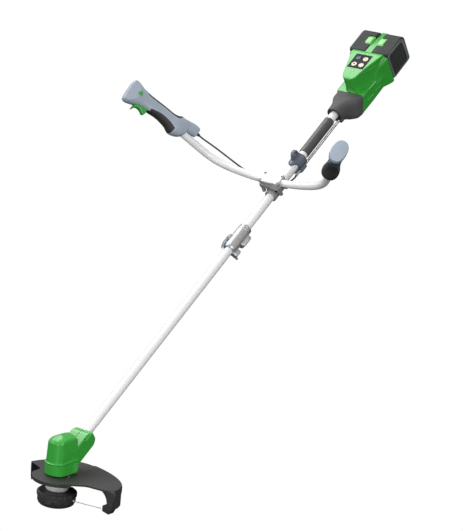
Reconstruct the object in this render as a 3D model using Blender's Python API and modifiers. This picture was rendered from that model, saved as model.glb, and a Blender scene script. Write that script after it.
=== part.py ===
"""Battery string trimmer with a bull-horn handlebar, a split shaft and a bump-feed line head.

Metres, +Z up. The origin is the centre of the bump knob's flat bottom face, on the line head's spin axis.
+X points forward, from the user to the line head, and +Y is the user's left.
The shaft climbs towards -X. Its pieces are built in the shaft frame, whose X is square to the shaft and
upwards (n), whose Y is the user's left (v) and whose Z runs up the shaft (t), from the spin axis.
"""

import math

import bmesh
import bpy
from mathutils import Matrix, Vector

# Fits
GAP = 0.0003
SLIDE = 0.0004

# Layout
SHAFT_SLOPE = math.radians(36.5)
SHAFT_ROOT_HEIGHT = 0.103
COUPLER_T = 0.895
BAR_T = 1.104
BAR_N = 0.036
BAR_TILT = math.radians(8.0)
HARNESS_T = 1.224
SLEEVE_START_T = 1.260
POWER_T = 1.434

# Tubes
TUBE_RADIUS = 0.013
TUBE_WALL = 0.0016
TUBE_BORE = TUBE_RADIUS + GAP
BAR_RADIUS = 0.011
BAR_WALL = 0.0018
BAR_END_REACH = 0.240
BAR_END_RISE = 0.105
GRIP_ANGLE = math.radians(57.0)
BAR_ENGAGEMENT = 0.060

# Line head
KNOB_RADIUS = 0.0225
HEAD_RADIUS = 0.0540
COVER_RADIUS = 0.0515
HEAD_HEIGHT = 0.0420
SHAFT_PIN_RADIUS = 0.0040
FLANGE_RADIUS = 0.0340
FLANGE_TOP = 0.0600
LINE_HEIGHT = 0.0215
LINE_RADIUS = 0.00105
LINE_REACH = 0.136
LINE_BEARING = math.radians(100.0)

# Guard
GUARD_TOP = 0.0890
GUARD_THICKNESS = 0.0030
GUARD_DISC_RADIUS = 0.082
SKIRT_BOTTOM = 0.035
HOOK_BOTTOM = 0.020
HOOK_BACK = -0.010
CUTTER_SCREW_RADIUS = 0.0020
BLADE_THICKNESS = 0.0015

# Motor housing
BASE_RADIUS = 0.0390
BASE_TOP = 0.1220
HOUSING_HALF_WIDTH = 0.0300
MOTOR_RADIUS = 0.0265
MOTOR_TOP = 0.158
COLLAR_T = 0.130
COLLAR_HALF_DEPTH = 0.026

# Handles
HANDLE_LENGTH = 0.248
PLAIN_GRIP_LENGTH = 0.150

# Power head
RIM_T = 1.5275
RIM_LEAN = 0.5
BARREL_HALF = 0.046
BARREL_TOP = 0.016
BARREL_BOTTOM = -0.050
CONSOLE_TOP = 0.0555
HOUSING_REAR_T = 1.6585
WALL = 0.003
PACK_LENGTH = 0.097
PACK_WIDTH = 0.056
PACK_TOP = 0.056
PACK_HEIGHT = 0.092
SPINE_HALF = 0.0115
PANEL_T = 1.6125
PANEL_LENGTH = 0.061
PANEL_WIDTH = 0.056
KEY_RADIUS = 0.0085

# Cable
CABLE_RADIUS = 0.0025
CONDUIT_RADIUS = 0.0040
CONDUIT_OFFSET = 0.0222
CONDUIT_BEARING = math.radians(145.0)
CONDUIT_BELOW_CLAMP = 0.036

# Places of the smaller pieces
GUARD_REACH = (
    (89, 0.180), (95, 0.182), (104, 0.179), (115, 0.168), (129, 0.152), (150, 0.133),
    (172, 0.127), (192, 0.127), (215, 0.124), (240, 0.119), (260, 0.116),
)
GUARD_SCREW_REACH = 0.0356
GUARD_SCREW_RADIUS = 0.0015
CUTTER_SCREW = (0.164, 0.033)
LEVER_PIVOT = (-0.0238, -0.0120)
COUPLER_BOLT = (0.0245, 0.0130)
COUPLER_KNOB = (0.0250, -0.0385)
BAR_HALF = (
    (0.000, 0.000), (0.028, 0.000), (0.052, 0.000), (0.082, 0.004), (0.115, 0.011), (0.150, 0.021),
    (0.180, 0.035),
    (0.204, 0.055), (0.223, 0.080),
)
BOLT_V = 0.0300
BOLT_T = 0.0145
CAP_TOP = 0.0500
SADDLE_LOW = 0.0225
CONTROL_SECTIONS = (
    # along, back, front, half width, corner
    (0.030, -0.032, 0.012, 0.0170, 0.012),
    (0.045, -0.036, 0.018, 0.0190, 0.014),
    (0.066, -0.039, 0.026, 0.0215, 0.016),
    (0.080, -0.032, 0.027, 0.0215, 0.017),
    (0.098, -0.027, 0.019, 0.0195, 0.017),
    (0.130, -0.027, 0.016, 0.0180, 0.016),
    (0.160, -0.025, 0.021, 0.0180, 0.015),
    (0.190, -0.024, 0.023, 0.0185, 0.015),
    (0.212, -0.027, 0.034, 0.0200, 0.016),
    (0.232, -0.032, 0.042, 0.0215, 0.018),
    (0.243, -0.032, 0.041, 0.0215, 0.018),
    (HANDLE_LENGTH, -0.027, 0.034, 0.0165, 0.015),
)
TRIGGER_PIVOT = (0.0110, 0.2030)
TRIGGER_HALF = 0.0080
TRIGGER_PIN_RADIUS = 0.0015
LOCK_PLACE = (-0.0010, 0.2160)
LOCK_RADIUS = 0.0062
CABLE_EXIT = (-0.0300, 0.0)
HANDLE_SCREW = (-0.0120, 0.0560)
PLAIN_SECTIONS = (
    (0.000, -0.016, 0.016, 0.0160, 0.0155),
    (0.008, -0.024, 0.024, 0.0230, 0.0220),
    (0.022, -0.027, 0.026, 0.0240, 0.0230),
    (0.038, -0.024, 0.022, 0.0215, 0.0200),
    (0.060, -0.022, 0.018, 0.0180, 0.0170),
    (0.090, -0.023, 0.020, 0.0180, 0.0170),
    (0.115, -0.028, 0.030, 0.0200, 0.0190),
    (0.138, -0.035, 0.036, 0.0225, 0.0215),
)
HARNESS_EYE_N = 0.0315
HARNESS_SCREW_V = -0.0168
SPINE_END_T = 1.7600
KEY_PLACES = (
    (-0.0125, PANEL_T - 0.0135), (0.0125, PANEL_T - 0.0135),
    (-0.0125, PANEL_T + 0.0135), (0.0125, PANEL_T + 0.0135),
)
# The cable's own route: forward, left and up in the bar's frame, then up, left and along in the shaft's.
CABLE_FROM_HANDLE = (
    (-0.0300, -0.2396, 0.1044), (-0.0300, -0.2290, 0.0890), (-0.0300, -0.2140, 0.0740),
    (-0.0290, -0.1940, 0.0560), (-0.0250, -0.1600, 0.0280), (-0.0220, -0.1300, 0.0020),
    (-0.0200, -0.1000, -0.0220), (-0.0210, -0.0700, -0.0340),
)
CABLE_UNDER_SHAFT = (
    (-0.0080, -0.0440, 1.1300), (-0.0190, -0.0240, 1.1420), (-0.0230, -0.0020, 1.1540),
)

SCREW_STEPS = 24


# Scene ------------------------------------------------------------------------------------------------------


def clear_scene():
    for obj in list(bpy.data.objects):
        bpy.data.objects.remove(obj, do_unlink=True)


def new_collection(name):
    collection = bpy.data.collections.new(name)
    bpy.context.scene.collection.children.link(collection)
    return collection


clear_scene()
PARTS = new_collection("string_trimmer")
CUTTERS = new_collection("cutters")
CUTTERS.hide_render = True


def look(name, colour, roughness, metallic=0.0):
    """One named Principled material, shared by the pieces made of it."""
    material = bpy.data.materials.new(name)
    material.use_nodes = True
    shader = material.node_tree.nodes["Principled BSDF"]
    shader.inputs["Base Color"].default_value = (*colour, 1.0)
    shader.inputs["Roughness"].default_value = roughness
    shader.inputs["Metallic"].default_value = metallic
    return material


GREEN = look("green_housing", (0.03, 0.36, 0.04), 0.35)
GREY_PLASTIC = look("dark_grey_plastic", (0.08, 0.08, 0.08), 0.55)
BLACK_PLASTIC = look("black_plastic", (0.02, 0.02, 0.021), 0.45)
PACK_PLASTIC = look("pack_plastic", (0.045, 0.047, 0.046), 0.5)
HANDLE_PLASTIC = look("handle_plastic", (0.36, 0.42, 0.50), 0.4)
RUBBER = look("rubber", (0.02, 0.018, 0.018), 0.7)
WHITE_TUBE = look("white_tube", (0.85, 0.85, 0.86), 0.25)
ALUMINIUM = look("cast_aluminium", (0.55, 0.55, 0.56), 0.4, 1.0)
STEEL = look("steel", (0.62, 0.62, 0.63), 0.3, 1.0)
COPPER = look("copper_winding", (0.75, 0.35, 0.18), 0.35, 1.0)
BOARD = look("circuit_board", (0.02, 0.16, 0.06), 0.5)
KEY_PLASTIC = look("key_plastic", (0.80, 0.74, 0.60), 0.4)
LINE_NYLON = look("line_nylon", (0.72, 0.72, 0.72), 0.35)


def empty(name, parent, location, rotation):
    marker = bpy.data.objects.new(name, None)
    PARTS.objects.link(marker)
    marker.parent = parent
    marker.location = location
    marker.rotation_euler = rotation
    return marker


def place(name, mesh, parent=None, location=(0, 0, 0), rotation=(0, 0, 0), material=None, crease=35.0):
    """Adds a named object. Without a material it is a cutter, which is never rendered."""
    obj = bpy.data.objects.new(name, mesh)
    obj.parent = parent
    obj.location = location
    obj.rotation_euler = rotation
    if material is None:
        CUTTERS.objects.link(obj)
        obj.hide_render = True
        obj.display_type = "WIRE"
        return obj
    PARTS.objects.link(obj)
    mesh.materials.clear()
    mesh.materials.append(material)
    mesh.shade_smooth()
    mesh.set_sharp_from_angle(angle=math.radians(crease))
    return obj


def boolean(obj, other, operation):
    modifier = obj.modifiers.new(f"{operation.lower()}_{other.name}", "BOOLEAN")
    modifier.operation = operation
    modifier.object = other
    modifier.solver = "EXACT"


def cut(obj, *cutters):
    for cutter in cutters:
        boolean(obj, cutter, "DIFFERENCE")
    return obj


def join(obj, *others):
    for other in others:
        boolean(obj, other, "UNION")
    return obj


def keep(obj, *regions):
    for region in regions:
        boolean(obj, region, "INTERSECT")
    return obj


def rounded(obj, width, segments=2, angle=40.0):
    modifier = obj.modifiers.new("edge_round", "BEVEL")
    modifier.width = width
    modifier.segments = segments
    modifier.limit_method = "ANGLE"
    modifier.angle_limit = math.radians(angle)
    return obj


# Meshes -----------------------------------------------------------------------------------------------------


def mesh_from(name, bm):
    bmesh.ops.recalc_face_normals(bm, faces=bm.faces)
    mesh = bpy.data.meshes.new(name)
    bm.to_mesh(mesh)
    bm.free()
    return mesh


def box_mesh(name, low, high):
    bm = bmesh.new()
    bmesh.ops.create_cube(bm, size=1.0)
    size = [b - a for a, b in zip(low, high)]
    centre = [(a + b) / 2 for a, b in zip(low, high)]
    bmesh.ops.scale(bm, vec=size, verts=bm.verts)
    bmesh.ops.translate(bm, vec=centre, verts=bm.verts)
    return mesh_from(name, bm)


def cylinder_mesh(name, radius, low, high, sides=24, axis="Z", centre=(0, 0), top_radius=None):
    """A cylinder or cone from low to high along one axis. centre is its place on the two other axes."""
    bm = bmesh.new()
    bmesh.ops.create_cone(
        bm,
        cap_ends=True,
        segments=sides,
        radius1=radius,
        radius2=radius if top_radius is None else top_radius,
        depth=high - low,
    )
    bmesh.ops.translate(bm, vec=(0, 0, (low + high) / 2), verts=bm.verts)
    if axis == "X":
        bmesh.ops.rotate(bm, matrix=Matrix.Rotation(math.pi / 2, 3, "Y"), verts=bm.verts)
        bmesh.ops.translate(bm, vec=(0, centre[0], centre[1]), verts=bm.verts)
    elif axis == "Y":
        bmesh.ops.rotate(bm, matrix=Matrix.Rotation(-math.pi / 2, 3, "X"), verts=bm.verts)
        bmesh.ops.translate(bm, vec=(centre[0], 0, centre[1]), verts=bm.verts)
    else:
        bmesh.ops.translate(bm, vec=(centre[0], centre[1], 0), verts=bm.verts)
    return mesh_from(name, bm)


def profile_mesh(name, points, closed):
    """A chain of (radius, height) points for a Screw modifier."""
    mesh = bpy.data.meshes.new(name)
    edges = [(i, i + 1) for i in range(len(points) - 1)]
    if closed:
        edges.append((len(points) - 1, 0))
    mesh.from_pydata([(r, 0, z) for r, z in points], edges, [])
    return mesh


def turned(name, points, material=None, parent=None, location=(0, 0, 0), rotation=(0, 0, 0), closed=False,
           steps=SCREW_STEPS):
    """A turned solid. The points run down its outer side; a closed chain makes a ring."""
    obj = place(name, profile_mesh(name, points, closed), parent, location, rotation, material)
    screw = obj.modifiers.new("turn", "SCREW")
    screw.axis = "Z"
    screw.steps = steps
    screw.render_steps = steps
    screw.use_merge_vertices = True
    screw.merge_threshold = 0.00001
    screw.use_smooth_shade = True
    return obj


def ring_points(outer, inner, low, high):
    return [(outer, high), (outer, low), (inner, low), (inner, high)]


def curve_mesh(name, curve):
    """The closed mesh of a curve, with its loose caps welded on."""
    holder = bpy.data.objects.new(name, curve)
    CUTTERS.objects.link(holder)
    graph = bpy.context.evaluated_depsgraph_get()
    mesh = bpy.data.meshes.new_from_object(holder.evaluated_get(graph))
    bpy.data.objects.remove(holder)
    bm = bmesh.new()
    bm.from_mesh(mesh)
    bmesh.ops.remove_doubles(bm, verts=bm.verts, dist=0.000001)
    return mesh_from(name, bm)


def tube_mesh(name, points, radius, resolution=2):
    curve = bpy.data.curves.new(name, "CURVE")
    curve.dimensions = "3D"
    curve.bevel_depth = radius
    curve.bevel_resolution = resolution
    curve.use_fill_caps = True
    spline = curve.splines.new("POLY")
    spline.points.add(len(points) - 1)
    for point, place_at in zip(spline.points, points):
        point.co = (*place_at, 1.0)
    return curve_mesh(name, curve)


def outline_mesh(name, outline, low, high):
    """A flat outline in XY, raised from low to high."""
    curve = bpy.data.curves.new(name, "CURVE")
    curve.dimensions = "2D"
    curve.fill_mode = "BOTH"
    curve.extrude = (high - low) / 2
    spline = curve.splines.new("POLY")
    spline.use_cyclic_u = True
    spline.points.add(len(outline) - 1)
    for point, (x, y) in zip(spline.points, outline):
        point.co = (x, y, 0.0, 1.0)
    mesh = curve_mesh(name, curve)
    mesh.transform(Matrix.Translation((0, 0, (low + high) / 2)))
    return mesh


def side_outline_mesh(name, outline, low, high):
    """A flat outline in XZ, raised along Y from low to high."""
    mesh = outline_mesh(name, outline, -high, -low)
    mesh.transform(Matrix.Rotation(math.pi / 2, 4, "X"))
    return mesh


def loft_mesh(name, rings):
    """A closed skin through rings with the same number of points, flat at both ends."""
    bm = bmesh.new()
    loops = [[bm.verts.new(point) for point in ring] for ring in rings]
    count = len(loops[0])
    for low, high in zip(loops, loops[1:]):
        for i in range(count):
            j = (i + 1) % count
            bm.faces.new((low[i], low[j], high[j], high[i]))
    bm.faces.new(list(reversed(loops[0])))
    bm.faces.new(loops[-1])
    return mesh_from(name, bm)


def rounded_ring(height, x_low, x_high, half_y, radius, lean=0.0, steps=4):
    """A rounded rectangle across Z. lean tips it, so that it climbs by that much per unit of X."""
    radius = min(radius, (x_high - x_low) / 2 - GAP, half_y - GAP)
    corners = (
        (x_high - radius, half_y - radius, 0),
        (x_low + radius, half_y - radius, 90),
        (x_low + radius, radius - half_y, 180),
        (x_high - radius, radius - half_y, 270),
    )
    ring = []
    for centre_x, centre_y, start in corners:
        for i in range(steps + 1):
            angle = math.radians(start + 90.0 * i / steps)
            x = centre_x + radius * math.cos(angle)
            y = centre_y + radius * math.sin(angle)
            ring.append(Vector((x, y, height + lean * x)))
    return ring


def arc(centre_x, centre_y, radius, start, end, count):
    """Points of an arc between two angles in degrees, both ends included."""
    angles = [math.radians(start + (end - start) * i / (count - 1)) for i in range(count)]
    return [(centre_x + radius * math.cos(a), centre_y + radius * math.sin(a)) for a in angles]


def smooth_route(points, spacing):
    """Points at an even spacing on a Catmull-Rom curve through the route's own points."""
    padded = [2 * points[0] - points[1], *points, 2 * points[-1] - points[-2]]
    fine = []
    for a, b, c, d in zip(padded, padded[1:], padded[2:], padded[3:]):
        for i in range(24):
            u = i / 24
            fine.append(
                0.5 * (
                    2 * b + (c - a) * u + (2 * a - 5 * b + 4 * c - d) * u * u + (3 * b - a - 3 * c + d) * u**3
                )
            )
    fine.append(points[-1])
    lengths = [0.0]
    for a, b in zip(fine, fine[1:]):
        lengths.append(lengths[-1] + (b - a).length)
    count = max(2, round(lengths[-1] / spacing) + 1)
    route = []
    index = 0
    for i in range(count):
        target = lengths[-1] * i / (count - 1)
        while index < len(lengths) - 2 and lengths[index + 1] < target:
            index += 1
        span = lengths[index + 1] - lengths[index]
        route.append(fine[index].lerp(fine[index + 1], (target - lengths[index]) / span))
    return route


def polar(bearing, radius):
    return radius * math.cos(bearing), radius * math.sin(bearing)


# Frames -----------------------------------------------------------------------------------------------------

SHAFT = empty("shaft_frame", None, (0, 0, SHAFT_ROOT_HEIGHT), (0, SHAFT_SLOPE - math.pi / 2, 0))
BAR = empty("bar_frame", SHAFT, (BAR_N, 0, BAR_T), (0, math.pi / 2 + BAR_TILT, 0))
CONTROL = empty("control_frame", BAR, (0, -BAR_END_REACH, BAR_END_RISE), (math.pi / 2 - GRIP_ANGLE, 0, 0))
PLAIN = empty("plain_frame", BAR, (0, BAR_END_REACH, BAR_END_RISE), (GRIP_ANGLE - math.pi / 2, 0, 0))
COUPLER_SIDE = empty("coupler_side_frame", SHAFT, (0, 0, COUPLER_T), (0, 0, math.radians(135.0)))


# Line head --------------------------------------------------------------------------------------------------


def build_line_head():
    turned(
        "bump_knob",
        [
            (0, 0.0130), (0.0060, 0.0125), (0.0060, 0.0080), (0.0270, 0.0078), (0.0270, 0.0060),
            (KNOB_RADIUS, 0.0057), (KNOB_RADIUS, 0.0020), (0.0190, 0), (0, 0),
        ],
        BLACK_PLASTIC,
    )
    bore = KNOB_RADIUS + SLIDE
    cover = turned(
        "spool_cover",
        [
            (COVER_RADIUS, 0.0277), (COVER_RADIUS, 0.0150), (0.0475, 0.0065), (0.0400, 0.0020),
            (0.0320, 0.0006),
            (bore, 0.0006), (bore, 0.0040), (0.0370, 0.0052), (0.0445, 0.0095), (0.0485, 0.0160),
            (0.0485, 0.0277),
        ],
        BLACK_PLASTIC,
        closed=True,
    )
    eyelet_hole = place(
        "eyelet_hole",
        cylinder_mesh("eyelet_hole", 0.0040 + GAP, 0.040, 0.060, 16, "X", (0, LINE_HEIGHT)),
        rotation=(0, 0, LINE_BEARING),
    )
    cut(cover, eyelet_hole)
    turned(
        "line_eyelet",
        [(0.0040, 0.0535), (0.0040, 0.0470), (0.0016, 0.0470), (0.0016, 0.0535)],
        STEEL,
        location=(0, 0, LINE_HEIGHT),
        rotation=(0, math.pi / 2, LINE_BEARING),
        closed=True,
        steps=16,
    )
    turned(
        "spool_housing",
        [
            (0.0500, HEAD_HEIGHT), (HEAD_RADIUS, 0.0380), (HEAD_RADIUS, 0.0290), (0.0515, 0.0280),
            (0.0480, 0.0280), (0.0480, 0.0385), (0.0050, 0.0385), (0.0050, HEAD_HEIGHT),
        ],
        BLACK_PLASTIC,
        closed=True,
    )
    turned(
        "line_spool",
        [
            (0.0415, 0.0375), (0.0415, 0.0355), (0.0330, 0.0345), (0.0330, 0.0160), (0.0415, 0.0150),
            (0.0415, 0.0135), (0.0102, 0.0135), (0.0102, 0.0375),
        ],
        LINE_NYLON,
        closed=True,
    )
    turns, points_a_turn, low, high = 5, 10, 0.0090, 0.0372
    coil = []
    for i in range(turns * points_a_turn + 1):
        angle = 2 * math.pi * i / points_a_turn
        coil.append(
            (
                0.0082 * math.cos(angle), 0.0082 * math.sin(angle),
                low + (high - low) * i / (turns * points_a_turn),
            ),
        )
    place("knob_spring", tube_mesh("knob_spring", coil, 0.0006, 1), material=STEEL)
    start = Vector((*polar(LINE_BEARING, 0.0425), LINE_HEIGHT))
    end = Vector((*polar(LINE_BEARING, LINE_REACH), LINE_HEIGHT))
    place(
        "cutting_line", tube_mesh("cutting_line", [start, start.lerp(end, 0.5), end], LINE_RADIUS, 1),
        material=LINE_NYLON,
    )
    turned(
        "drive_flange",
        [
            (0.0120, 0.0835), (0.0120, 0.0640), (FLANGE_RADIUS, FLANGE_TOP), (FLANGE_RADIUS, 0.0560),
            (0.0310, 0.0470), (0.0270, HEAD_HEIGHT + 2 * GAP), (
                SHAFT_PIN_RADIUS + GAP, HEAD_HEIGHT + 2 * GAP
            ),
            (SHAFT_PIN_RADIUS + GAP, 0.0835),
        ],
        STEEL,
        closed=True,
    )


# Guard ------------------------------------------------------------------------------------------------------


def guard_edge(inset):
    """The guard's outer edge, from its line cutter's end round the back to its plain end."""
    return [polar(math.radians(bearing), reach - inset) for bearing, reach in GUARD_REACH]


def build_guard():
    disc = arc(0.004, 0.006, GUARD_DISC_RADIUS, -60, 52, 14)
    front = [(0.018, 0.108), (0.013, 0.143), (0.010, 0.166)]
    scallop = [(-0.017, -0.099), (-0.010, -0.086), (0.006, -0.079), (0.026, -0.077)]
    outline = disc + front + guard_edge(0.0) + scallop
    low = GUARD_TOP - GUARD_THICKNESS
    guard = place("guard", outline_mesh("guard", outline, low, GUARD_TOP), material=BLACK_PLASTIC)
    skirt_outline = guard_edge(0.0) + list(reversed(guard_edge(GUARD_THICKNESS)))
    skirt = place("guard_skirt", outline_mesh("guard_skirt", skirt_outline, SKIRT_BOTTOM, GUARD_TOP - 0.0005))
    rim = place(
        "guard_disc_rim",
        outline_mesh(
            "guard_disc_rim",
            arc(0.004, 0.006, GUARD_DISC_RADIUS - 0.0004, -58, 50, 14)
            + arc(0.004, 0.006, GUARD_DISC_RADIUS - 0.0034, 50, -58, 14),
            GUARD_TOP - 0.010,
            GUARD_TOP - 0.0005,
        ),
    )
    hook = place(
        "guard_hook", box_mesh("guard_hook", (HOOK_BACK, 0.142, HOOK_BOTTOM), (0.0105, 0.1815, 0.046))
    )
    hook_wall = place(
        "guard_hook_wall", box_mesh("guard_hook_wall", (-0.040, 0.1735, 0.0435), (0.0065, 0.1795, 0.060))
    )
    join(guard, skirt, rim, hook_wall, hook)
    spindle_hole = place("guard_spindle_hole", cylinder_mesh("guard_spindle_hole", 0.0140, 0.06, 0.10, 24))
    screw_hole_plan = [(0.0, y) for y in (-GUARD_SCREW_REACH, GUARD_SCREW_REACH)]
    for index, centre in enumerate(screw_hole_plan):
        hole = cylinder_mesh(
            f"guard_screw_hole_{index}", GUARD_SCREW_RADIUS + SLIDE, 0.07, 0.11, 12, centre=centre
        )
        cut(guard, place(f"guard_screw_hole_{index}", hole))
    hole = cylinder_mesh(
        "cutter_screw_hole", CUTTER_SCREW_RADIUS + SLIDE, -0.020, 0.005, 12, "X", CUTTER_SCREW
    )
    cut(guard, spindle_hole, place("cutter_screw_hole", hole))

    face = HOOK_BACK - GAP
    blade_ends = ((face - BLADE_THICKNESS, 0.145, 0.0235), (face, 0.176, 0.0425))
    blade = place("line_cutter", box_mesh("line_cutter", *blade_ends), material=STEEL)
    hole = cylinder_mesh("blade_hole", CUTTER_SCREW_RADIUS + SLIDE, -0.020, -0.005, 12, "X", CUTTER_SCREW)
    cut(blade, place("blade_hole", hole))
    shank_start = face - BLADE_THICKNESS - 0.0010
    shank = cylinder_mesh("cutter_screw", CUTTER_SCREW_RADIUS, shank_start, 0.0020, 12, "X", CUTTER_SCREW)
    screw = place("cutter_screw", shank, material=STEEL)
    head_end = face - BLADE_THICKNESS - GAP
    head = cylinder_mesh("cutter_screw_head", 0.0040, head_end - 0.0024, head_end, 12, "X", CUTTER_SCREW)
    join(screw, place("cutter_screw_head", head))

    for side, y in (("right", -GUARD_SCREW_REACH), ("left", GUARD_SCREW_REACH)):
        shank = cylinder_mesh(f"guard_screw_{side}", GUARD_SCREW_RADIUS, 0.084, 0.104, 12, centre=(0, y))
        head = cylinder_mesh(f"guard_screw_head_{side}", 0.0036, 0.0830, low - GAP, 12, centre=(0, y))
        obj = place(f"guard_screw_{side}", shank, material=STEEL)
        join(obj, place(f"guard_screw_head_{side}", head))


# Motor housing ----------------------------------------------------------------------------------------------


def shaft_point(t, n):
    """(x, z) in world space of a point of the shaft's middle plane."""
    x = -t * math.cos(SHAFT_SLOPE) + n * math.sin(SHAFT_SLOPE)
    z = SHAFT_ROOT_HEIGHT + t * math.sin(SHAFT_SLOPE) + n * math.cos(SHAFT_SLOPE)
    return x, z


def build_motor_housing():
    foot = GUARD_TOP + GAP
    profile = [
        (0.0375, BASE_TOP - 0.002), (0.0345, 0.150), (0.0300, 0.182), (0.0200, 0.199), (0.0050, 0.2050),
        (-0.0120, 0.2040), (-0.0290, 0.1965), (-0.0420, 0.1800),
        shaft_point(0.082, COLLAR_HALF_DEPTH), shaft_point(COLLAR_T, COLLAR_HALF_DEPTH),
        shaft_point(COLLAR_T, -COLLAR_HALF_DEPTH), shaft_point(0.075, -COLLAR_HALF_DEPTH),
        (-0.0480, 0.112), (-0.0470, foot), (0.0, foot),
    ]
    cutters = [
        place("motor_space", cylinder_mesh("motor_space", MOTOR_RADIUS + SLIDE, 0.080, MOTOR_TOP, 32)),
        place(
            "collar_bore",
            cylinder_mesh("collar_bore", TUBE_BORE, 0.062, 0.200, 24),
            SHAFT,
        ),
    ]
    for index, y in enumerate((-GUARD_SCREW_REACH, GUARD_SCREW_REACH)):
        hole = cylinder_mesh(
            f"housing_screw_hole_{index}", GUARD_SCREW_RADIUS + SLIDE, 0.080, 0.106, 12, centre=(0, y)
        )
        cutters.append(place(f"housing_screw_hole_{index}", hole))
    base = place("housing_base", cylinder_mesh("housing_base", BASE_RADIUS, foot, BASE_TOP, 32))
    for side, sign in (("right", -1), ("left", 1)):
        shell = place(
            f"motor_housing_{side}",
            side_outline_mesh(f"motor_housing_{side}", profile, -HOUSING_HALF_WIDTH, HOUSING_HALF_WIDTH),
            material=GREEN,
        )
        rounded(shell, 0.0075, 3, 50.0)
        join(shell, base)
        cut(shell, *cutters)
        region = box_mesh(f"half_{side}", (-0.3, sign * GAP / 2, 0.0), (0.3, sign * 0.3, 0.4))
        keep(shell, place(f"half_{side}", region))

    turned(
        "motor_stator",
        ring_points(MOTOR_RADIUS, 0.0205, 0.1060, 0.1500),
        COPPER,
        closed=True,
    )
    turned(
        "motor_rotor",
        [
            (0, 0.1540), (SHAFT_PIN_RADIUS, 0.1540), (SHAFT_PIN_RADIUS, 0.1500), (0.0195, 0.1480),
            (0.0195, 0.1080),
            (SHAFT_PIN_RADIUS, 0.1060), (SHAFT_PIN_RADIUS, 0.0200), (0, 0.0200),
        ],
        STEEL,
    )


# Shaft ------------------------------------------------------------------------------------------------------


def build_shaft():
    bore = TUBE_RADIUS - TUBE_WALL
    joint_t = COUPLER_T - 0.0225
    turned(
        "lower_tube", ring_points(TUBE_RADIUS, bore, 0.0640, joint_t - GAP / 2), WHITE_TUBE, SHAFT,
        closed=True,
    )
    turned(
        "upper_tube", ring_points(TUBE_RADIUS, bore, joint_t + GAP / 2, POWER_T + 0.110), WHITE_TUBE, SHAFT,
        closed=True,
    )
    sleeve = [
        (0.0146, SLEEVE_START_T + 0.148), (0.0155, SLEEVE_START_T + 0.146), (0.0155, SLEEVE_START_T + 0.002),
        (0.0146, SLEEVE_START_T), (TUBE_BORE, SLEEVE_START_T), (TUBE_BORE, SLEEVE_START_T + 0.148),
    ]
    turned("shaft_sleeve", sleeve, RUBBER, SHAFT, closed=True)


# Coupler ----------------------------------------------------------------------------------------------------


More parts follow.
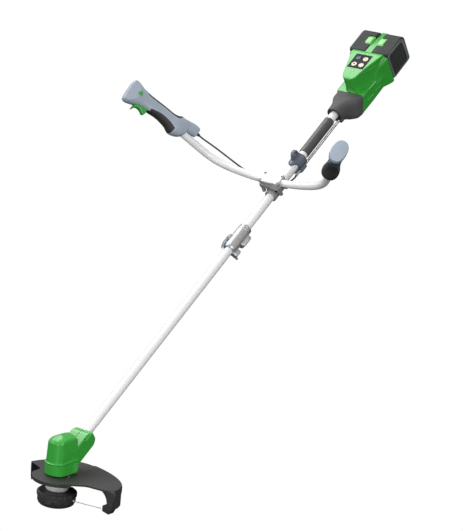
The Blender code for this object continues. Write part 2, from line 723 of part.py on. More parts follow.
def build_coupler():
    body = turned(
        "coupler_body",
        [
            (0.0172, 0.0470), (0.0188, 0.0450), (0.0188, 0.0400), (0.0178, 0.0390), (0.0178, 0.0370),
            (0.0194, 0.0355), (0.0196, 0.0300),
            (0.0196, -0.0400), (0.0180, -0.0460), (TUBE_BORE, -0.0460), (TUBE_BORE, 0.0470),
        ],
        ALUMINIUM,
        SHAFT,
        (0, 0, COUPLER_T),
        closed=True,
    )
    ear = place(
        "coupler_ear", box_mesh("coupler_ear", (0.0150, -0.0110, -0.0100), (0.0300, 0.0110, 0.0290)),
        COUPLER_SIDE,
    )
    rounded(ear, 0.004, 2)
    lug = place(
        "coupler_lug", box_mesh("coupler_lug", (0.0150, -0.0080, -0.0500), (0.0310, 0.0080, -0.0270)),
        COUPLER_SIDE,
    )
    rounded(lug, 0.003, 2)
    lever_ears = place(
        "lever_ears",
        box_mesh("lever_ears", (-0.0270, -0.0095, -0.0210), (-0.0150, 0.0095, -0.0050)),
        COUPLER_SIDE,
    )
    join(body, ear, lug, lever_ears)
    lever_slot = place(
        "lever_slot", box_mesh("lever_slot", (-0.0300, -0.0064, -0.0260), (
            -0.0202, 0.0064, 0.0
        )), COUPLER_SIDE
    )
    lever_pin_hole = place(
        "lever_pin_hole",
        cylinder_mesh("lever_pin_hole", 0.0018 + SLIDE, -0.02, 0.02, 16, "Y", LEVER_PIVOT),
        COUPLER_SIDE,
    )
    bore = place(
        "coupler_bore", cylinder_mesh("coupler_bore", TUBE_BORE, -0.10, 0.10, 32), SHAFT, (0, 0, COUPLER_T)
    )
    bolt_hole = place(
        "coupler_bolt_hole",
        cylinder_mesh("coupler_bolt_hole", 0.0025 + SLIDE, -0.02, 0.02, 16, "Y", COUPLER_BOLT), COUPLER_SIDE
    )
    knob_hole = place(
        "coupler_knob_hole",
        cylinder_mesh("coupler_knob_hole", 0.0030 + SLIDE, -0.02, 0.02, 16, "Y", COUPLER_KNOB), COUPLER_SIDE
    )
    cut(body, bore, lever_slot, lever_pin_hole, bolt_hole, knob_hole)

    bolt = place(
        "coupler_bolt", cylinder_mesh("coupler_bolt", 0.0025, -0.0105, 0.0120, 16, "Y", COUPLER_BOLT),
        COUPLER_SIDE, material=STEEL
    )
    join(
        bolt,
        place(
            "bolt_head", cylinder_mesh("bolt_head", 0.0046, 0.0113, 0.0150, 6, "Y", COUPLER_BOLT),
            COUPLER_SIDE,
        ),
    )
    knob = place(
        "coupler_knob", cylinder_mesh("coupler_knob", 0.0030, -0.0075, 0.0230, 16, "Y", COUPLER_KNOB),
        COUPLER_SIDE, material=STEEL
    )
    wing_mesh = box_mesh("coupler_wing", (0.0115, 0.0200, -0.0412), (0.0385, 0.0255, -0.0358))
    wing = rounded(place("coupler_wing", wing_mesh, COUPLER_SIDE), 0.0022, 2)
    hub = place(
        "coupler_hub", cylinder_mesh("coupler_hub", 0.0058, 0.0083, 0.0215, 16, "Y", COUPLER_KNOB),
        COUPLER_SIDE,
    )
    join(knob, hub, wing)

    lever_profile = [
        (-0.0213, -0.0080), (-0.0250, -0.0070), (-0.0275, -0.0120), (-0.0262, -0.0350), (-0.0205, -0.0540),
        (-0.0180, -0.0555), (-0.0182, -0.0500), (-0.0206, -0.0380),
    ]
    lever = place(
        "release_lever", side_outline_mesh("release_lever", lever_profile, -0.0060, 0.0060), COUPLER_SIDE,
        material=HANDLE_PLASTIC
    )
    join(
        lever,
        place(
            "lever_pin", cylinder_mesh("lever_pin", 0.0018, -0.0092, 0.0092, 16, "Y", LEVER_PIVOT),
            COUPLER_SIDE,
        ),
    )


# Handlebar --------------------------------------------------------------------------------------------------


def bar_route():
    """The bar's centre line in its own frame, the same on both sides, with its ends inside the grips."""
    along = Vector((0, math.cos(GRIP_ANGLE), math.sin(GRIP_ANGLE)))
    half = [Vector((0, reach, rise)) for reach, rise in BAR_HALF]
    end = Vector((0, BAR_END_REACH, BAR_END_RISE))
    half += [end, end + along * BAR_ENGAGEMENT]
    mirrored = [Vector((0, -p.y, p.z)) for p in reversed(half[1:])]
    return mirrored + half


def build_bracket():
    saddle = place(
        "bracket_saddle",
        box_mesh(
            "bracket_saddle", (SADDLE_LOW, -0.0370, BAR_T - 0.0220), (BAR_N - GAP, 0.0370, BAR_T + 0.0220)
        ),
        SHAFT,
        material=ALUMINIUM,
    )
    rounded(saddle, 0.003, 2)
    web = place(
        "saddle_web",
        box_mesh("saddle_web", (0.0050, -0.0165, BAR_T - 0.0200), (0.0260, 0.0165, BAR_T + 0.0210)), SHAFT,
    )
    ring = place("saddle_ring", cylinder_mesh("saddle_ring", 0.0183, -0.030, 0.032, 24), SHAFT, (0, 0, BAR_T))
    join(saddle, web, ring)
    shank_holes = []
    for index, (v, t) in enumerate(bolt_places()):
        post = cylinder_mesh(f"saddle_post_{index}", 0.0056, 0.0020, SADDLE_LOW + 0.0020, 16, "X", (v, t))
        join(saddle, place(f"saddle_post_{index}", post, SHAFT))
        hole = cylinder_mesh(f"saddle_bolt_hole_{index}", 0.0025 + SLIDE, -0.01, 0.08, 16, "X", (v, t))
        shank_holes.append(place(f"saddle_bolt_hole_{index}", hole, SHAFT))
    bar_groove = place(
        "bar_groove", cylinder_mesh("bar_groove", BAR_RADIUS + SLIDE, -0.06, 0.06, 24, "Y", (BAR_N, BAR_T)),
        SHAFT,
    )
    tube_bore = place(
        "saddle_tube_bore", cylinder_mesh("saddle_tube_bore", TUBE_BORE, -0.05, 0.05, 32), SHAFT,
        (0, 0, BAR_T),
    )
    cut(saddle, bar_groove, tube_bore, *shank_holes)

    cap = place(
        "bracket_cap",
        box_mesh("bracket_cap", (BAR_N + GAP, -0.0360, BAR_T - 0.0210), (CAP_TOP, 0.0360, BAR_T + 0.0210)),
        SHAFT,
        material=ALUMINIUM,
    )
    rounded(cap, 0.004, 2)
    cut(cap, bar_groove, *shank_holes)
    for index, (v, t) in enumerate(bolt_places()):
        bolt = place(
            f"bracket_bolt_{index + 1}",
            cylinder_mesh("bracket_bolt", 0.0025, 0.0040, CAP_TOP + 0.0010, 16, "X", (v, t)),
            SHAFT,
            material=STEEL,
        )
        head = cylinder_mesh(f"bolt_head_{index}", 0.0045, CAP_TOP + GAP, CAP_TOP + 0.0053, 16, "X", (v, t))
        join(bolt, place(f"bolt_head_{index}", head, SHAFT))


def bolt_places():
    return [(v, BAR_T + t) for v in (-BOLT_V, BOLT_V) for t in (-BOLT_T, BOLT_T)]


def build_handlebar():
    route = smooth_route(bar_route(), 0.018)
    bar = place("handlebar", tube_mesh("handlebar", route, BAR_RADIUS, 3), BAR, material=WHITE_TUBE)
    start = route[0] + (route[0] - route[1]) * 0.1
    end = route[-1] + (route[-1] - route[-2]) * 0.1
    inner_route = [start, *route[1:-1], end]
    cut(bar, place("handlebar_bore", tube_mesh("handlebar_bore", inner_route, BAR_RADIUS - BAR_WALL, 2), BAR))


# Control handle, on the user's right ------------------------------------------------------------------------

GRIP_START, GRIP_END = 0.076, 0.166


def control_body(name, material=None):
    rings = [rounded_ring(z, low, high, half, corner) for z, low, high, half, corner in CONTROL_SECTIONS]
    return place(name, loft_mesh(name, rings), CONTROL, material=material)


def build_control_handle():
    tongue = place(
        "control_tongue",
        loft_mesh(
            "control_tongue",
            [
                rounded_ring(0.000, -0.040, -0.0125, 0.0110, 0.006),
                rounded_ring(0.036, -0.036, -0.0105, 0.0150, 0.008),
            ],
        ),
        CONTROL,
    )
    bar_bore = place(
        "control_bore", cylinder_mesh("control_bore", BAR_RADIUS + GAP, -0.02, BAR_ENGAGEMENT + 0.006, 24),
        CONTROL,
    )
    switch_space = place(
        "switch_space", box_mesh("switch_space", (-0.0160, -0.0085, 0.150), (0.0120, 0.0085, 0.205)), CONTROL
    )
    trigger_space = place(
        "trigger_space",
        box_mesh(
            "trigger_space", (0.0040, -TRIGGER_HALF - SLIDE, 0.163), (0.0600, TRIGGER_HALF + SLIDE, 0.211)
        ),
        CONTROL,
    )
    lock_space = place(
        "lock_space",
        cylinder_mesh("lock_space", LOCK_RADIUS + SLIDE, 0.0090, 0.030, 20, "Y", LOCK_PLACE),
        CONTROL,
    )
    cable_space = place(
        "cable_space",
        cylinder_mesh("cable_space", CABLE_RADIUS + SLIDE, -0.01, 0.010, 12, centre=CABLE_EXIT), CONTROL,
    )
    screw_space = place(
        "screw_space", cylinder_mesh("screw_space", 0.0030 + SLIDE, 0.0125, 0.030, 16, "Y", HANDLE_SCREW),
        CONTROL
    )
    pin_space = place(
        "trigger_pin_space",
        cylinder_mesh(
            "trigger_pin_space", TRIGGER_PIN_RADIUS + SLIDE, -0.0115, 0.0115, 12, "Y", TRIGGER_PIVOT
        ),
        CONTROL,
    )
    front_space = place(
        "front_grip_space",
        box_mesh("front_grip_space", (0.0040, -0.05, GRIP_START), (0.06, 0.05, GRIP_END - 0.006)),
        CONTROL,
    )
    back_space = place(
        "back_grip_space", box_mesh("back_grip_space", (-0.06, -0.05, GRIP_START - 0.010), (
            -0.0205, 0.05, 0.198
        )), CONTROL
    )
    for side, sign in (("outer", -1), ("inner", 1)):
        shell = control_body(f"control_shell_{side}", HANDLE_PLASTIC)
        region = box_mesh(f"control_half_{side}", (-0.1, sign * GAP / 2, -0.1), (0.1, sign * 0.1, 0.4))
        join(shell, tongue)
        cut(
            shell, bar_bore, switch_space, trigger_space, pin_space, lock_space, cable_space, screw_space,
            front_space, back_space,
        )
        keep(shell, place(f"control_half_{side}", region, CONTROL))

    for name, low, high in (
        ("control_grip_front", (0.0040 + GAP, -0.05, GRIP_START + GAP), (0.06, 0.05, GRIP_END - 0.006 - GAP)),
        ("control_grip_back", (-0.06, -0.05, GRIP_START - 0.010 + GAP), (-0.0205 - GAP, 0.05, 0.198 - GAP)),
    ):
        grip = control_body(name, RUBBER)
        keep(grip, place(f"{name}_region", box_mesh(f"{name}_region", low, high), CONTROL))

    trigger_profile = [
        (0.0080, 0.2070), (0.0200, 0.2095), (0.0480, 0.2110), (0.0490, 0.2085), (0.0350, 0.2010),
        (0.0330, 0.1900),
        (0.0400, 0.1740), (0.0370, 0.1690), (0.0280, 0.1680), (0.0160, 0.1700), (0.0100, 0.1900),
    ]
    trigger = place(
        "trigger",
        side_outline_mesh("trigger", trigger_profile, -TRIGGER_HALF, TRIGGER_HALF),
        CONTROL,
        material=GREEN,
    )
    rounded(trigger, 0.0012, 2)
    pin = cylinder_mesh("trigger_pin", TRIGGER_PIN_RADIUS, -0.0110, 0.0110, 12, "Y", TRIGGER_PIVOT)
    join(trigger, place("trigger_pin", pin, CONTROL))

    button = place(
        "lock_button", cylinder_mesh("lock_button", LOCK_RADIUS, 0.0132, 0.0222, 20, "Y", LOCK_PLACE),
        CONTROL, material=GREEN,
    )
    rounded(button, 0.0010, 2, 60)
    place(
        "control_switch",
        box_mesh("control_switch", (-0.0150, -0.0080, 0.152), (0.0030, 0.0080, 0.196)),
        CONTROL,
        material=BLACK_PLASTIC,
    )
    place(
        "handle_screw", cylinder_mesh("handle_screw", 0.0030, 0.0130, 0.0195, 16, "Y", HANDLE_SCREW), CONTROL,
        material=STEEL,
    )


# Plain grip, on the user's left -----------------------------------------------------------------------------


def plain_body(name, sections, material=None):
    rings = [rounded_ring(z, low, high, half, corner) for z, low, high, half, corner in sections]
    return place(name, loft_mesh(name, rings), PLAIN, material=material)


def build_plain_grip():
    grip = plain_body("plain_grip", PLAIN_SECTIONS, HANDLE_PLASTIC)
    bore = place(
        "plain_bore", cylinder_mesh("plain_bore", BAR_RADIUS + GAP, -0.02, BAR_ENGAGEMENT + 0.004, 24), PLAIN
    )
    front_space = place(
        "plain_front_space", box_mesh("plain_front_space", (0.0140, -0.05, 0.004), (0.06, 0.05, 0.086)), PLAIN
    )
    cut(grip, bore, front_space)
    pad = plain_body("plain_grip_pad", PLAIN_SECTIONS, RUBBER)
    keep(
        pad,
        place(
            "plain_pad_region",
            box_mesh("plain_pad_region", (0.0140 + GAP, -0.05, 0.004 + GAP), (0.06, 0.05, 0.086 - GAP)),
            PLAIN,
        ),
    )
    end = PLAIN_SECTIONS[-1][0]
    cap_sections = (
        (end + GAP, -0.035, 0.036, 0.0225, 0.0215),
        (PLAIN_GRIP_LENGTH - 0.004, -0.0345, 0.0355, 0.0220, 0.0215),
        (PLAIN_GRIP_LENGTH, -0.030, 0.031, 0.0180, 0.0175),
    )
    plain_body("plain_grip_cap", cap_sections, HANDLE_PLASTIC)


# Harness clamp ----------------------------------------------------------------------------------------------


def build_harness_clamp():
    bore = place(
        "harness_bore", cylinder_mesh("harness_bore", TUBE_BORE, -0.06, 0.06, 32), SHAFT, (0, 0, HARNESS_T)
    )
    lug_outline = arc(HARNESS_EYE_N, 0.0, 0.0125, -90, 90, 10) + [(0.012, 0.0155), (0.012, -0.0155)]
    upper = turned(
        "harness_clamp_upper",
        ring_points(0.0205, TUBE_BORE - 0.001, -0.0185, 0.0185),
        HANDLE_PLASTIC,
        SHAFT,
        (0, 0, HARNESS_T),
        closed=True,
    )
    lug = place(
        "harness_lug", side_outline_mesh("harness_lug", lug_outline, -0.0050, 0.0050), SHAFT,
        (0, 0, HARNESS_T),
    )
    rounded(lug, 0.0015, 2)
    eye = place(
        "harness_eye", cylinder_mesh("harness_eye", 0.0065, -0.02, 0.02, 20, "Y", (HARNESS_EYE_N + 0.001, 0)),
        SHAFT, (0, 0, HARNESS_T),
    )
    upper_region = place(
        "harness_upper_region", box_mesh("harness_upper_region", (-0.004 + GAP, -0.1, -0.1), (0.1, 0.1, 0.1)),
        SHAFT, (0, 0, HARNESS_T)
    )
    join(upper, lug)
    cut(upper, bore, eye)
    keep(upper, upper_region)

    lower = turned(
        "harness_clamp_lower",
        ring_points(0.0205, TUBE_BORE - 0.001, -0.0185, 0.0185),
        HANDLE_PLASTIC,
        SHAFT,
        (0, 0, HARNESS_T),
        closed=True,
    )
    foot = place(
        "harness_foot",
        box_mesh("harness_foot", (0.0150, -0.0080, -0.0150), (0.0300, 0.0080, 0.0120)),
        SHAFT,
        (0, 0, HARNESS_T),
        (0, 0, CONDUIT_BEARING),
    )
    rounded(foot, 0.003, 2)
    conduit_hole = place(
        "foot_conduit_hole",
        cylinder_mesh(
            "foot_conduit_hole", CONDUIT_RADIUS + GAP, -0.05, 0.05, 16,
            centre=polar(CONDUIT_BEARING, CONDUIT_OFFSET),
        ),
        SHAFT,
        (0, 0, HARNESS_T),
    )
    lower_region = place(
        "harness_lower_region", box_mesh("harness_lower_region", (-0.1, -0.1, -0.1), (-0.004, 0.1, 0.1)),
        SHAFT, (0, 0, HARNESS_T)
    )
    screw_centre = (HARNESS_SCREW_V, 0.0)
    screw_hole = place(
        "harness_screw_hole",
        cylinder_mesh("harness_screw_hole", 0.0012 + SLIDE, -0.03, 0.0070, 12, "X", screw_centre), SHAFT,
        (0, 0, HARNESS_T)
    )
    head_space = place(
        "harness_head_space",
        cylinder_mesh("harness_head_space", 0.0026 + SLIDE, -0.03, -0.0105, 12, "X", screw_centre), SHAFT,
        (0, 0, HARNESS_T)
    )
    join(lower, foot)
    cut(lower, bore, conduit_hole, screw_hole, head_space)
    keep(lower, lower_region)
    cut(upper, screw_hole)
    screw = place(
        "harness_screw", cylinder_mesh("harness_screw", 0.0012, -0.0110, 0.0060, 12, "X", screw_centre),
        SHAFT, (0, 0, HARNESS_T), material=STEEL
    )
    head = cylinder_mesh("harness_screw_head", 0.0026, -0.0130, -0.0108, 12, "X", screw_centre)
    join(screw, place("harness_screw_head", head, SHAFT, (0, 0, HARNESS_T)))


# Power head -------------------------------------------------------------------------------------------------


def power_ring(t, half, top, bottom, corner, lean=0.0):
    return rounded_ring(t, bottom, top, half, corner, lean)


def rim_ring(offset, half, top, bottom, corner):
    """A section parallel to the leaning rim between the nose cone and the green housing."""
    return power_ring(RIM_T + offset, half, top, bottom, corner, RIM_LEAN)


def build_nose():
    nose = place(
        "nose_cone",
        loft_mesh(
            "nose_cone",
            [
                power_ring(POWER_T, 0.0225, 0.0225, -0.0240, 0.0220),
                power_ring(POWER_T + 0.003, 0.0240, 0.0235, -0.0260, 0.0230),
                power_ring(POWER_T + 0.020, 0.0265, 0.0245, -0.0330, 0.0220, 0.08),
                power_ring(POWER_T + 0.042, 0.0340, 0.0240, -0.0450, 0.0200, 0.22),
                power_ring(POWER_T + 0.066, 0.0420, 0.0200, -0.0500, 0.0160, 0.36),
                rim_ring(-GAP, BARREL_HALF, BARREL_TOP, BARREL_BOTTOM, 0.0140),
            ],
        ),
        SHAFT,
        material=GREY_PLASTIC,
    )
    port = place(
        "conduit_port",
        cylinder_mesh(
            "conduit_port", 0.0080, POWER_T + 0.0015, POWER_T + 0.040, 20,
            centre=polar(CONDUIT_BEARING, CONDUIT_OFFSET + 0.003),
        ),
        SHAFT,
    )
    rounded(port, 0.002, 2, 60)
    port_hole = place(
        "port_hole",
        cylinder_mesh(
            "port_hole", CONDUIT_RADIUS + GAP, POWER_T - 0.02, POWER_T + 0.028, 16,
            centre=polar(CONDUIT_BEARING, CONDUIT_OFFSET),
        ),
        SHAFT,
    )
    tube_hole = place(
        "nose_tube_hole", cylinder_mesh("nose_tube_hole", TUBE_BORE, POWER_T - 0.05, RIM_T + 0.08, 32), SHAFT
    )
    mouth = place(
        "nose_mouth", cylinder_mesh("nose_mouth", 0.0185, POWER_T - 0.01, POWER_T + 0.006, 32), SHAFT
    )
    join(nose, port)
    cut(nose, tube_hole, mouth, port_hole)


def housing_outer(name, material=None):
    """The green housing's barrel, with its console and the carrier that the packs stand behind joined on."""
    barrel = place(
        name,
        loft_mesh(
            name,
            [
                rim_ring(GAP, BARREL_HALF, BARREL_TOP, BARREL_BOTTOM, 0.0140),
                rim_ring(0.014, BARREL_HALF + 0.001, BARREL_TOP + 0.003, BARREL_BOTTOM, 0.0140),
                power_ring(1.5800, BARREL_HALF + 0.002, 0.020, BARREL_BOTTOM, 0.0140, 0.2),
                power_ring(1.6200, BARREL_HALF + 0.002, 0.020, BARREL_BOTTOM, 0.0140),
                power_ring(HOUSING_REAR_T, BARREL_HALF + 0.002, 0.020, BARREL_BOTTOM, 0.0140),
            ],
        ),
        SHAFT,
        material=material,
    )
    return barrel


def build_power_housing():
    console = place(
        "console",
        loft_mesh(
            "console",
            [
                power_ring(1.5362, 0.0200, 0.0460, 0.0135, 0.0140),
                power_ring(1.5410, 0.0260, 0.0510, 0.0130, 0.0140),
                power_ring(1.5680, 0.0360, 0.0560, -0.0100, 0.0100),
                power_ring(1.6100, 0.0440, CONSOLE_TOP + 0.0010, -0.0100, 0.0120),
                power_ring(1.6450, 0.0540, CONSOLE_TOP + 0.0010, -0.0150, 0.0160),
                power_ring(HOUSING_REAR_T, 0.0600, 0.0500, -0.0200, 0.0180),
            ],
        ),
        SHAFT,
    )
    carrier = place(
        "pack_carrier",
        loft_mesh(
            "pack_carrier",
            [
                power_ring(1.6250, 0.0500, 0.0300, -0.0480, 0.0120),
                power_ring(1.6450, 0.0620, 0.0420, -0.0480, 0.0140),
                power_ring(HOUSING_REAR_T, 0.0670, 0.0480, -0.0480, 0.0120),
            ],
        ),
        SHAFT,
    )
    spine = place(
        "spine",
        box_mesh("spine", (-0.0440, -SPINE_HALF, HOUSING_REAR_T - 0.006), (0.0480, SPINE_HALF, SPINE_END_T)),
        SHAFT,
    )
    rounded(spine, 0.003, 2)
    inside = place(
        "housing_inside",
        loft_mesh(
            "housing_inside",
            [
                rim_ring(-0.010, BARREL_HALF - WALL, BARREL_TOP - WALL, BARREL_BOTTOM + WALL, 0.011),
                power_ring(
                    1.5800, BARREL_HALF + 0.002 - WALL, 0.020 - WALL, BARREL_BOTTOM + WALL, 0.011, 0.2
                ),
                power_ring(
                    HOUSING_REAR_T - 0.005, BARREL_HALF + 0.002 - WALL, 0.020 - WALL, BARREL_BOTTOM + WALL,
                    0.011,
                ),
            ],
        ),
        SHAFT,
    )
    console_inside = place(
        "console_inside", box_mesh("console_inside", (0.0, -0.0260, 1.5600), (
            CONSOLE_TOP - 0.0060, 0.0260, 1.6460
        )), SHAFT
    )
    panel_space = place(
        "panel_space",
        box_mesh(
            "panel_space",
            (CONSOLE_TOP - 0.0030, -PANEL_WIDTH / 2 - GAP, PANEL_T - PANEL_LENGTH / 2 - GAP),
            (CONSOLE_TOP + 0.02, PANEL_WIDTH / 2 + GAP, PANEL_T + PANEL_LENGTH / 2 + GAP),
        ),
        SHAFT,
    )
    window = place(
        "panel_window", box_mesh("panel_window", (CONSOLE_TOP - 0.02, -0.024, PANEL_T - 0.026), (
            CONSOLE_TOP, 0.024, PANEL_T + 0.026
        )), SHAFT
    )
    tube_hole = place(
        "housing_tube_hole", cylinder_mesh("housing_tube_hole", TUBE_BORE, 1.40, POWER_T + 0.112, 32), SHAFT
    )
    for side, sign in (("right", -1), ("left", 1)):
        shell = housing_outer(f"power_housing_{side}", GREEN)
        join(shell, console, carrier, spine)
        cut(shell, inside, console_inside, panel_space, window)
        region = box_mesh(f"power_half_{side}", (-0.2, sign * GAP / 2, 1.3), (0.2, sign * 0.2, 2.0))
        keep(shell, place(f"power_half_{side}", region, SHAFT))

    place(
        "controller_board",
        box_mesh("controller_board", (-0.012, -0.030, 1.562), (-0.0104, 0.030, 1.640)),
        SHAFT,
        material=BOARD,
    )


def build_control_panel():
    panel = place(
        "control_panel",
        box_mesh(
            "control_panel",
            (CONSOLE_TOP - 0.0030 + GAP, -PANEL_WIDTH / 2, PANEL_T - PANEL_LENGTH / 2),
            (CONSOLE_TOP, PANEL_WIDTH / 2, PANEL_T + PANEL_LENGTH / 2),
        ),
        SHAFT,
        material=BLACK_PLASTIC,
    )
    for index, (v, t) in enumerate(KEY_PLACES):
        hole = cylinder_mesh(f"key_hole_{index}", KEY_RADIUS + SLIDE, 0.04, 0.07, 24, "X", (v, t))
        cut(panel, place(f"key_hole_{index}", hole, SHAFT))
        key = place(
            f"panel_key_{index + 1}",
            cylinder_mesh(
                "panel_key", KEY_RADIUS, CONSOLE_TOP - 0.0045, CONSOLE_TOP + 0.0012, 24, "X", (v, t)
            ),
            SHAFT,
            material=KEY_PLASTIC,
        )
        rounded(key, 0.0005, 1, 60)


def build_packs():
    low_t = HOUSING_REAR_T + 0.0015
    for side, sign in (("right", -1), ("left", 1)):
        inner = SPINE_HALF + GAP
        middle = sign * (inner + PACK_WIDTH / 2)
        pack = place(
            f"battery_{side}",
            box_mesh(
                f"battery_{side}",
                (PACK_TOP - PACK_HEIGHT, middle - PACK_WIDTH / 2, low_t),
                (PACK_TOP, middle + PACK_WIDTH / 2, low_t + PACK_LENGTH),
            ),
            SHAFT,
            material=PACK_PLASTIC,
        )
        rounded(pack, 0.005, 2)
        latch_low = (PACK_TOP - 0.0140, sign * inner - 0.0200, low_t + 0.0320)
        latch_high = (PACK_TOP + 0.02, sign * inner + 0.0200, low_t + 0.0680)
        latch_space = place(
            f"latch_space_{side}", box_mesh(f"latch_space_{side}", latch_low, latch_high), SHAFT
        )
        grille_space = place(
            f"grille_space_{side}",
            box_mesh(
                f"grille_space_{side}",
                (PACK_TOP - PACK_HEIGHT + 0.012, sign * (inner + PACK_WIDTH) - 0.0022, low_t + 0.012),
                (PACK_TOP - 0.014, sign * (inner + PACK_WIDTH) + 0.0022, low_t + PACK_LENGTH - 0.012),
            ),
            SHAFT,
        )
        cut(pack, latch_space, grille_space)
        latch = place(
            f"pack_release_{side}",
            box_mesh(
                f"pack_release_{side}",
                (PACK_TOP - 0.0095, min(sign * (inner + 0.0005), sign * (inner + 0.0190)), low_t + 0.0325),
                (PACK_TOP + 0.0040, max(sign * (inner + 0.0005), sign * (inner + 0.0190)), low_t + 0.0675),
            ),
            SHAFT,
            material=GREEN,
        )
        rounded(latch, 0.0015, 2)


# Cable ------------------------------------------------------------------------------------------------------


def build_cable():
    centre = polar(CONDUIT_BEARING, CONDUIT_OFFSET)
    low = HARNESS_T - CONDUIT_BELOW_CLAMP
    place(
        "cable_conduit",
        cylinder_mesh("cable_conduit", CONDUIT_RADIUS, low, POWER_T + 0.0275, 16, centre=centre),
        SHAFT,
        material=STEEL,
    )
    to_shaft = Matrix.Translation((BAR_N, 0, BAR_T)) @ Matrix.Rotation(math.pi / 2 + BAR_TILT, 4, "Y")
    from_handle = [Vector(p) for p in CABLE_FROM_HANDLE]
    route = [to_shaft @ p for p in from_handle]
    route += [Vector((n, v, t)) for n, v, t in CABLE_UNDER_SHAFT]
    route.append(Vector((centre[0], centre[1], low - 0.012)))
    route.append(Vector((centre[0], centre[1], low - GAP)))
    place(
        "control_cable", tube_mesh("control_cable", smooth_route(route, 0.009), CABLE_RADIUS, 2), SHAFT,
        material=RUBBER,
    )


build_line_head()
build_guard()
build_motor_housing()
build_shaft()
build_coupler()
build_bracket()
build_handlebar()
build_control_handle()
build_plain_grip()
build_harness_clamp()
build_nose()
build_power_housing()
build_control_panel()
build_packs()
build_cable()
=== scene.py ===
"""Looks of a battery string trimmer: fine surfaces, finishes, a pale floor, studio light and a camera."""
import math

import bmesh
import bpy
import numpy as np
from mathutils import Matrix, Vector


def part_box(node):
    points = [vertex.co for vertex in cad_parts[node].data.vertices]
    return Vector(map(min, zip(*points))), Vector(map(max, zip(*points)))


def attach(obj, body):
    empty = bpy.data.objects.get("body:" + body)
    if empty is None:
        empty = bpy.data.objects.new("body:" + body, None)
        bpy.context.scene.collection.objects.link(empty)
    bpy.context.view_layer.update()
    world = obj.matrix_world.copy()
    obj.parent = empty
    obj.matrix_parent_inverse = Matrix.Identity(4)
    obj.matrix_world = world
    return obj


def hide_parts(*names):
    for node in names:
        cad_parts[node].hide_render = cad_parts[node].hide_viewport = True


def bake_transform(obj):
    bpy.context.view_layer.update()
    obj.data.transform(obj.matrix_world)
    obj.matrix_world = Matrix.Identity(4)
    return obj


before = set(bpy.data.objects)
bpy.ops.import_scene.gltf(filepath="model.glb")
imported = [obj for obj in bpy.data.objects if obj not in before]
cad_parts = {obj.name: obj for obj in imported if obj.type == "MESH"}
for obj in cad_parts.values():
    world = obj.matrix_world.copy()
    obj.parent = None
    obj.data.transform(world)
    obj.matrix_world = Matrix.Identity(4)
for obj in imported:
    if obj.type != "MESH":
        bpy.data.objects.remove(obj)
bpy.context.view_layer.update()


# Camera -----------------------------------------------------------------------------------------------------
# A long lens some way off to the front and the user's left, a little above the tool, and tipped a few degrees.

CAMERA_BEARING, CAMERA_RISE, CAMERA_ROLL = np.radians((35.2, 13.3, 5.39))
CAMERA_DISTANCE = 7.0
CAMERA_AIM = np.array((-0.75, 0.0, 0.5))
CAMERA_SHIFT = (-0.0222, 0.0520)
CAMERA_LENS = 166.07

flat, rise = math.cos(CAMERA_RISE), math.sin(CAMERA_RISE)
camera_back = np.array((math.cos(CAMERA_BEARING) * flat, math.sin(CAMERA_BEARING) * flat, rise))
camera_right = np.array((-math.sin(CAMERA_BEARING), math.cos(CAMERA_BEARING), 0.0))
camera_up = np.cross(camera_back, camera_right)
camera_right, camera_up = (
    math.cos(CAMERA_ROLL) * camera_right + math.sin(CAMERA_ROLL) * camera_up,
    math.cos(CAMERA_ROLL) * camera_up - math.sin(CAMERA_ROLL) * camera_right,
)
camera_place = CAMERA_AIM + camera_back * CAMERA_DISTANCE
camera_place = camera_place + camera_right * CAMERA_SHIFT[0] + camera_up * CAMERA_SHIFT[1]

camera = bpy.data.objects.new("camera", bpy.data.cameras.new("camera"))
bpy.context.scene.collection.objects.link(camera)
camera.data.lens = CAMERA_LENS
camera.data.clip_end = 100.0
turn_to_view = np.eye(4)
turn_to_view[:3, :3] = np.stack((camera_right, camera_up, camera_back), axis=1)
turn_to_view[:3, 3] = camera_place
camera.matrix_world = Matrix(turn_to_view.tolist())
bpy.context.scene.camera = camera


# Studio -----------------------------------------------------------------------------------------------------
# A pale floor and a white surround, a large soft light overhead, and three smaller ones in front at both sides
# and low down.


def new_material(name):
    """A material with an empty node tree but for its shader and its output."""
    material = bpy.data.materials.new(name)
    material.use_nodes = True
    return material, material.node_tree.nodes, material.node_tree.links


floor_material, nodes, links = new_material("studio_floor")
shader = nodes["Principled BSDF"]
shader.inputs["Base Color"].default_value = (0.07, 0.07, 0.07, 1.0)
shader.inputs["Roughness"].default_value = 0.9
shader.inputs["Specular IOR Level"].default_value = 0.1


def white_to_the_eye(nodes, links, lit, output, socket):
    """Plain white where it is looked at straight, and lit as given where it lights the object."""
    path = nodes.new("ShaderNodeLightPath")
    plain = nodes.new("ShaderNodeEmission")
    mix = nodes.new("ShaderNodeMixShader")
    links.new(path.outputs["Is Camera Ray"], mix.inputs["Fac"])
    links.new(lit, mix.inputs[1])
    links.new(plain.outputs["Emission"], mix.inputs[2])
    links.new(mix.outputs["Shader"], output.inputs[socket])


white_to_the_eye(nodes, links, shader.outputs["BSDF"], nodes["Material Output"], "Surface")
FLOOR_REACH = 30.0
floor_mesh = bpy.data.meshes.new("floor")
floor_corners = [(x * FLOOR_REACH, y * FLOOR_REACH, -0.001) for x, y in ((-1, -1), (1, -1), (1, 1), (-1, 1))]
floor_mesh.from_pydata(floor_corners, [], [(0, 1, 2, 3)])
floor_mesh.materials.append(floor_material)
floor = bpy.data.objects.new("floor", floor_mesh)
bpy.context.scene.collection.objects.link(floor)

world = bpy.data.worlds.new("surround")
world.use_nodes = True
nodes, links = world.node_tree.nodes, world.node_tree.links
nodes["Background"].inputs["Color"].default_value = (1.0, 1.0, 1.0, 1.0)
nodes["Background"].inputs["Strength"].default_value = 0.50
white_to_the_eye(nodes, links, nodes["Background"].outputs["Background"], nodes["World Output"], "Surface")
bpy.context.scene.world = world


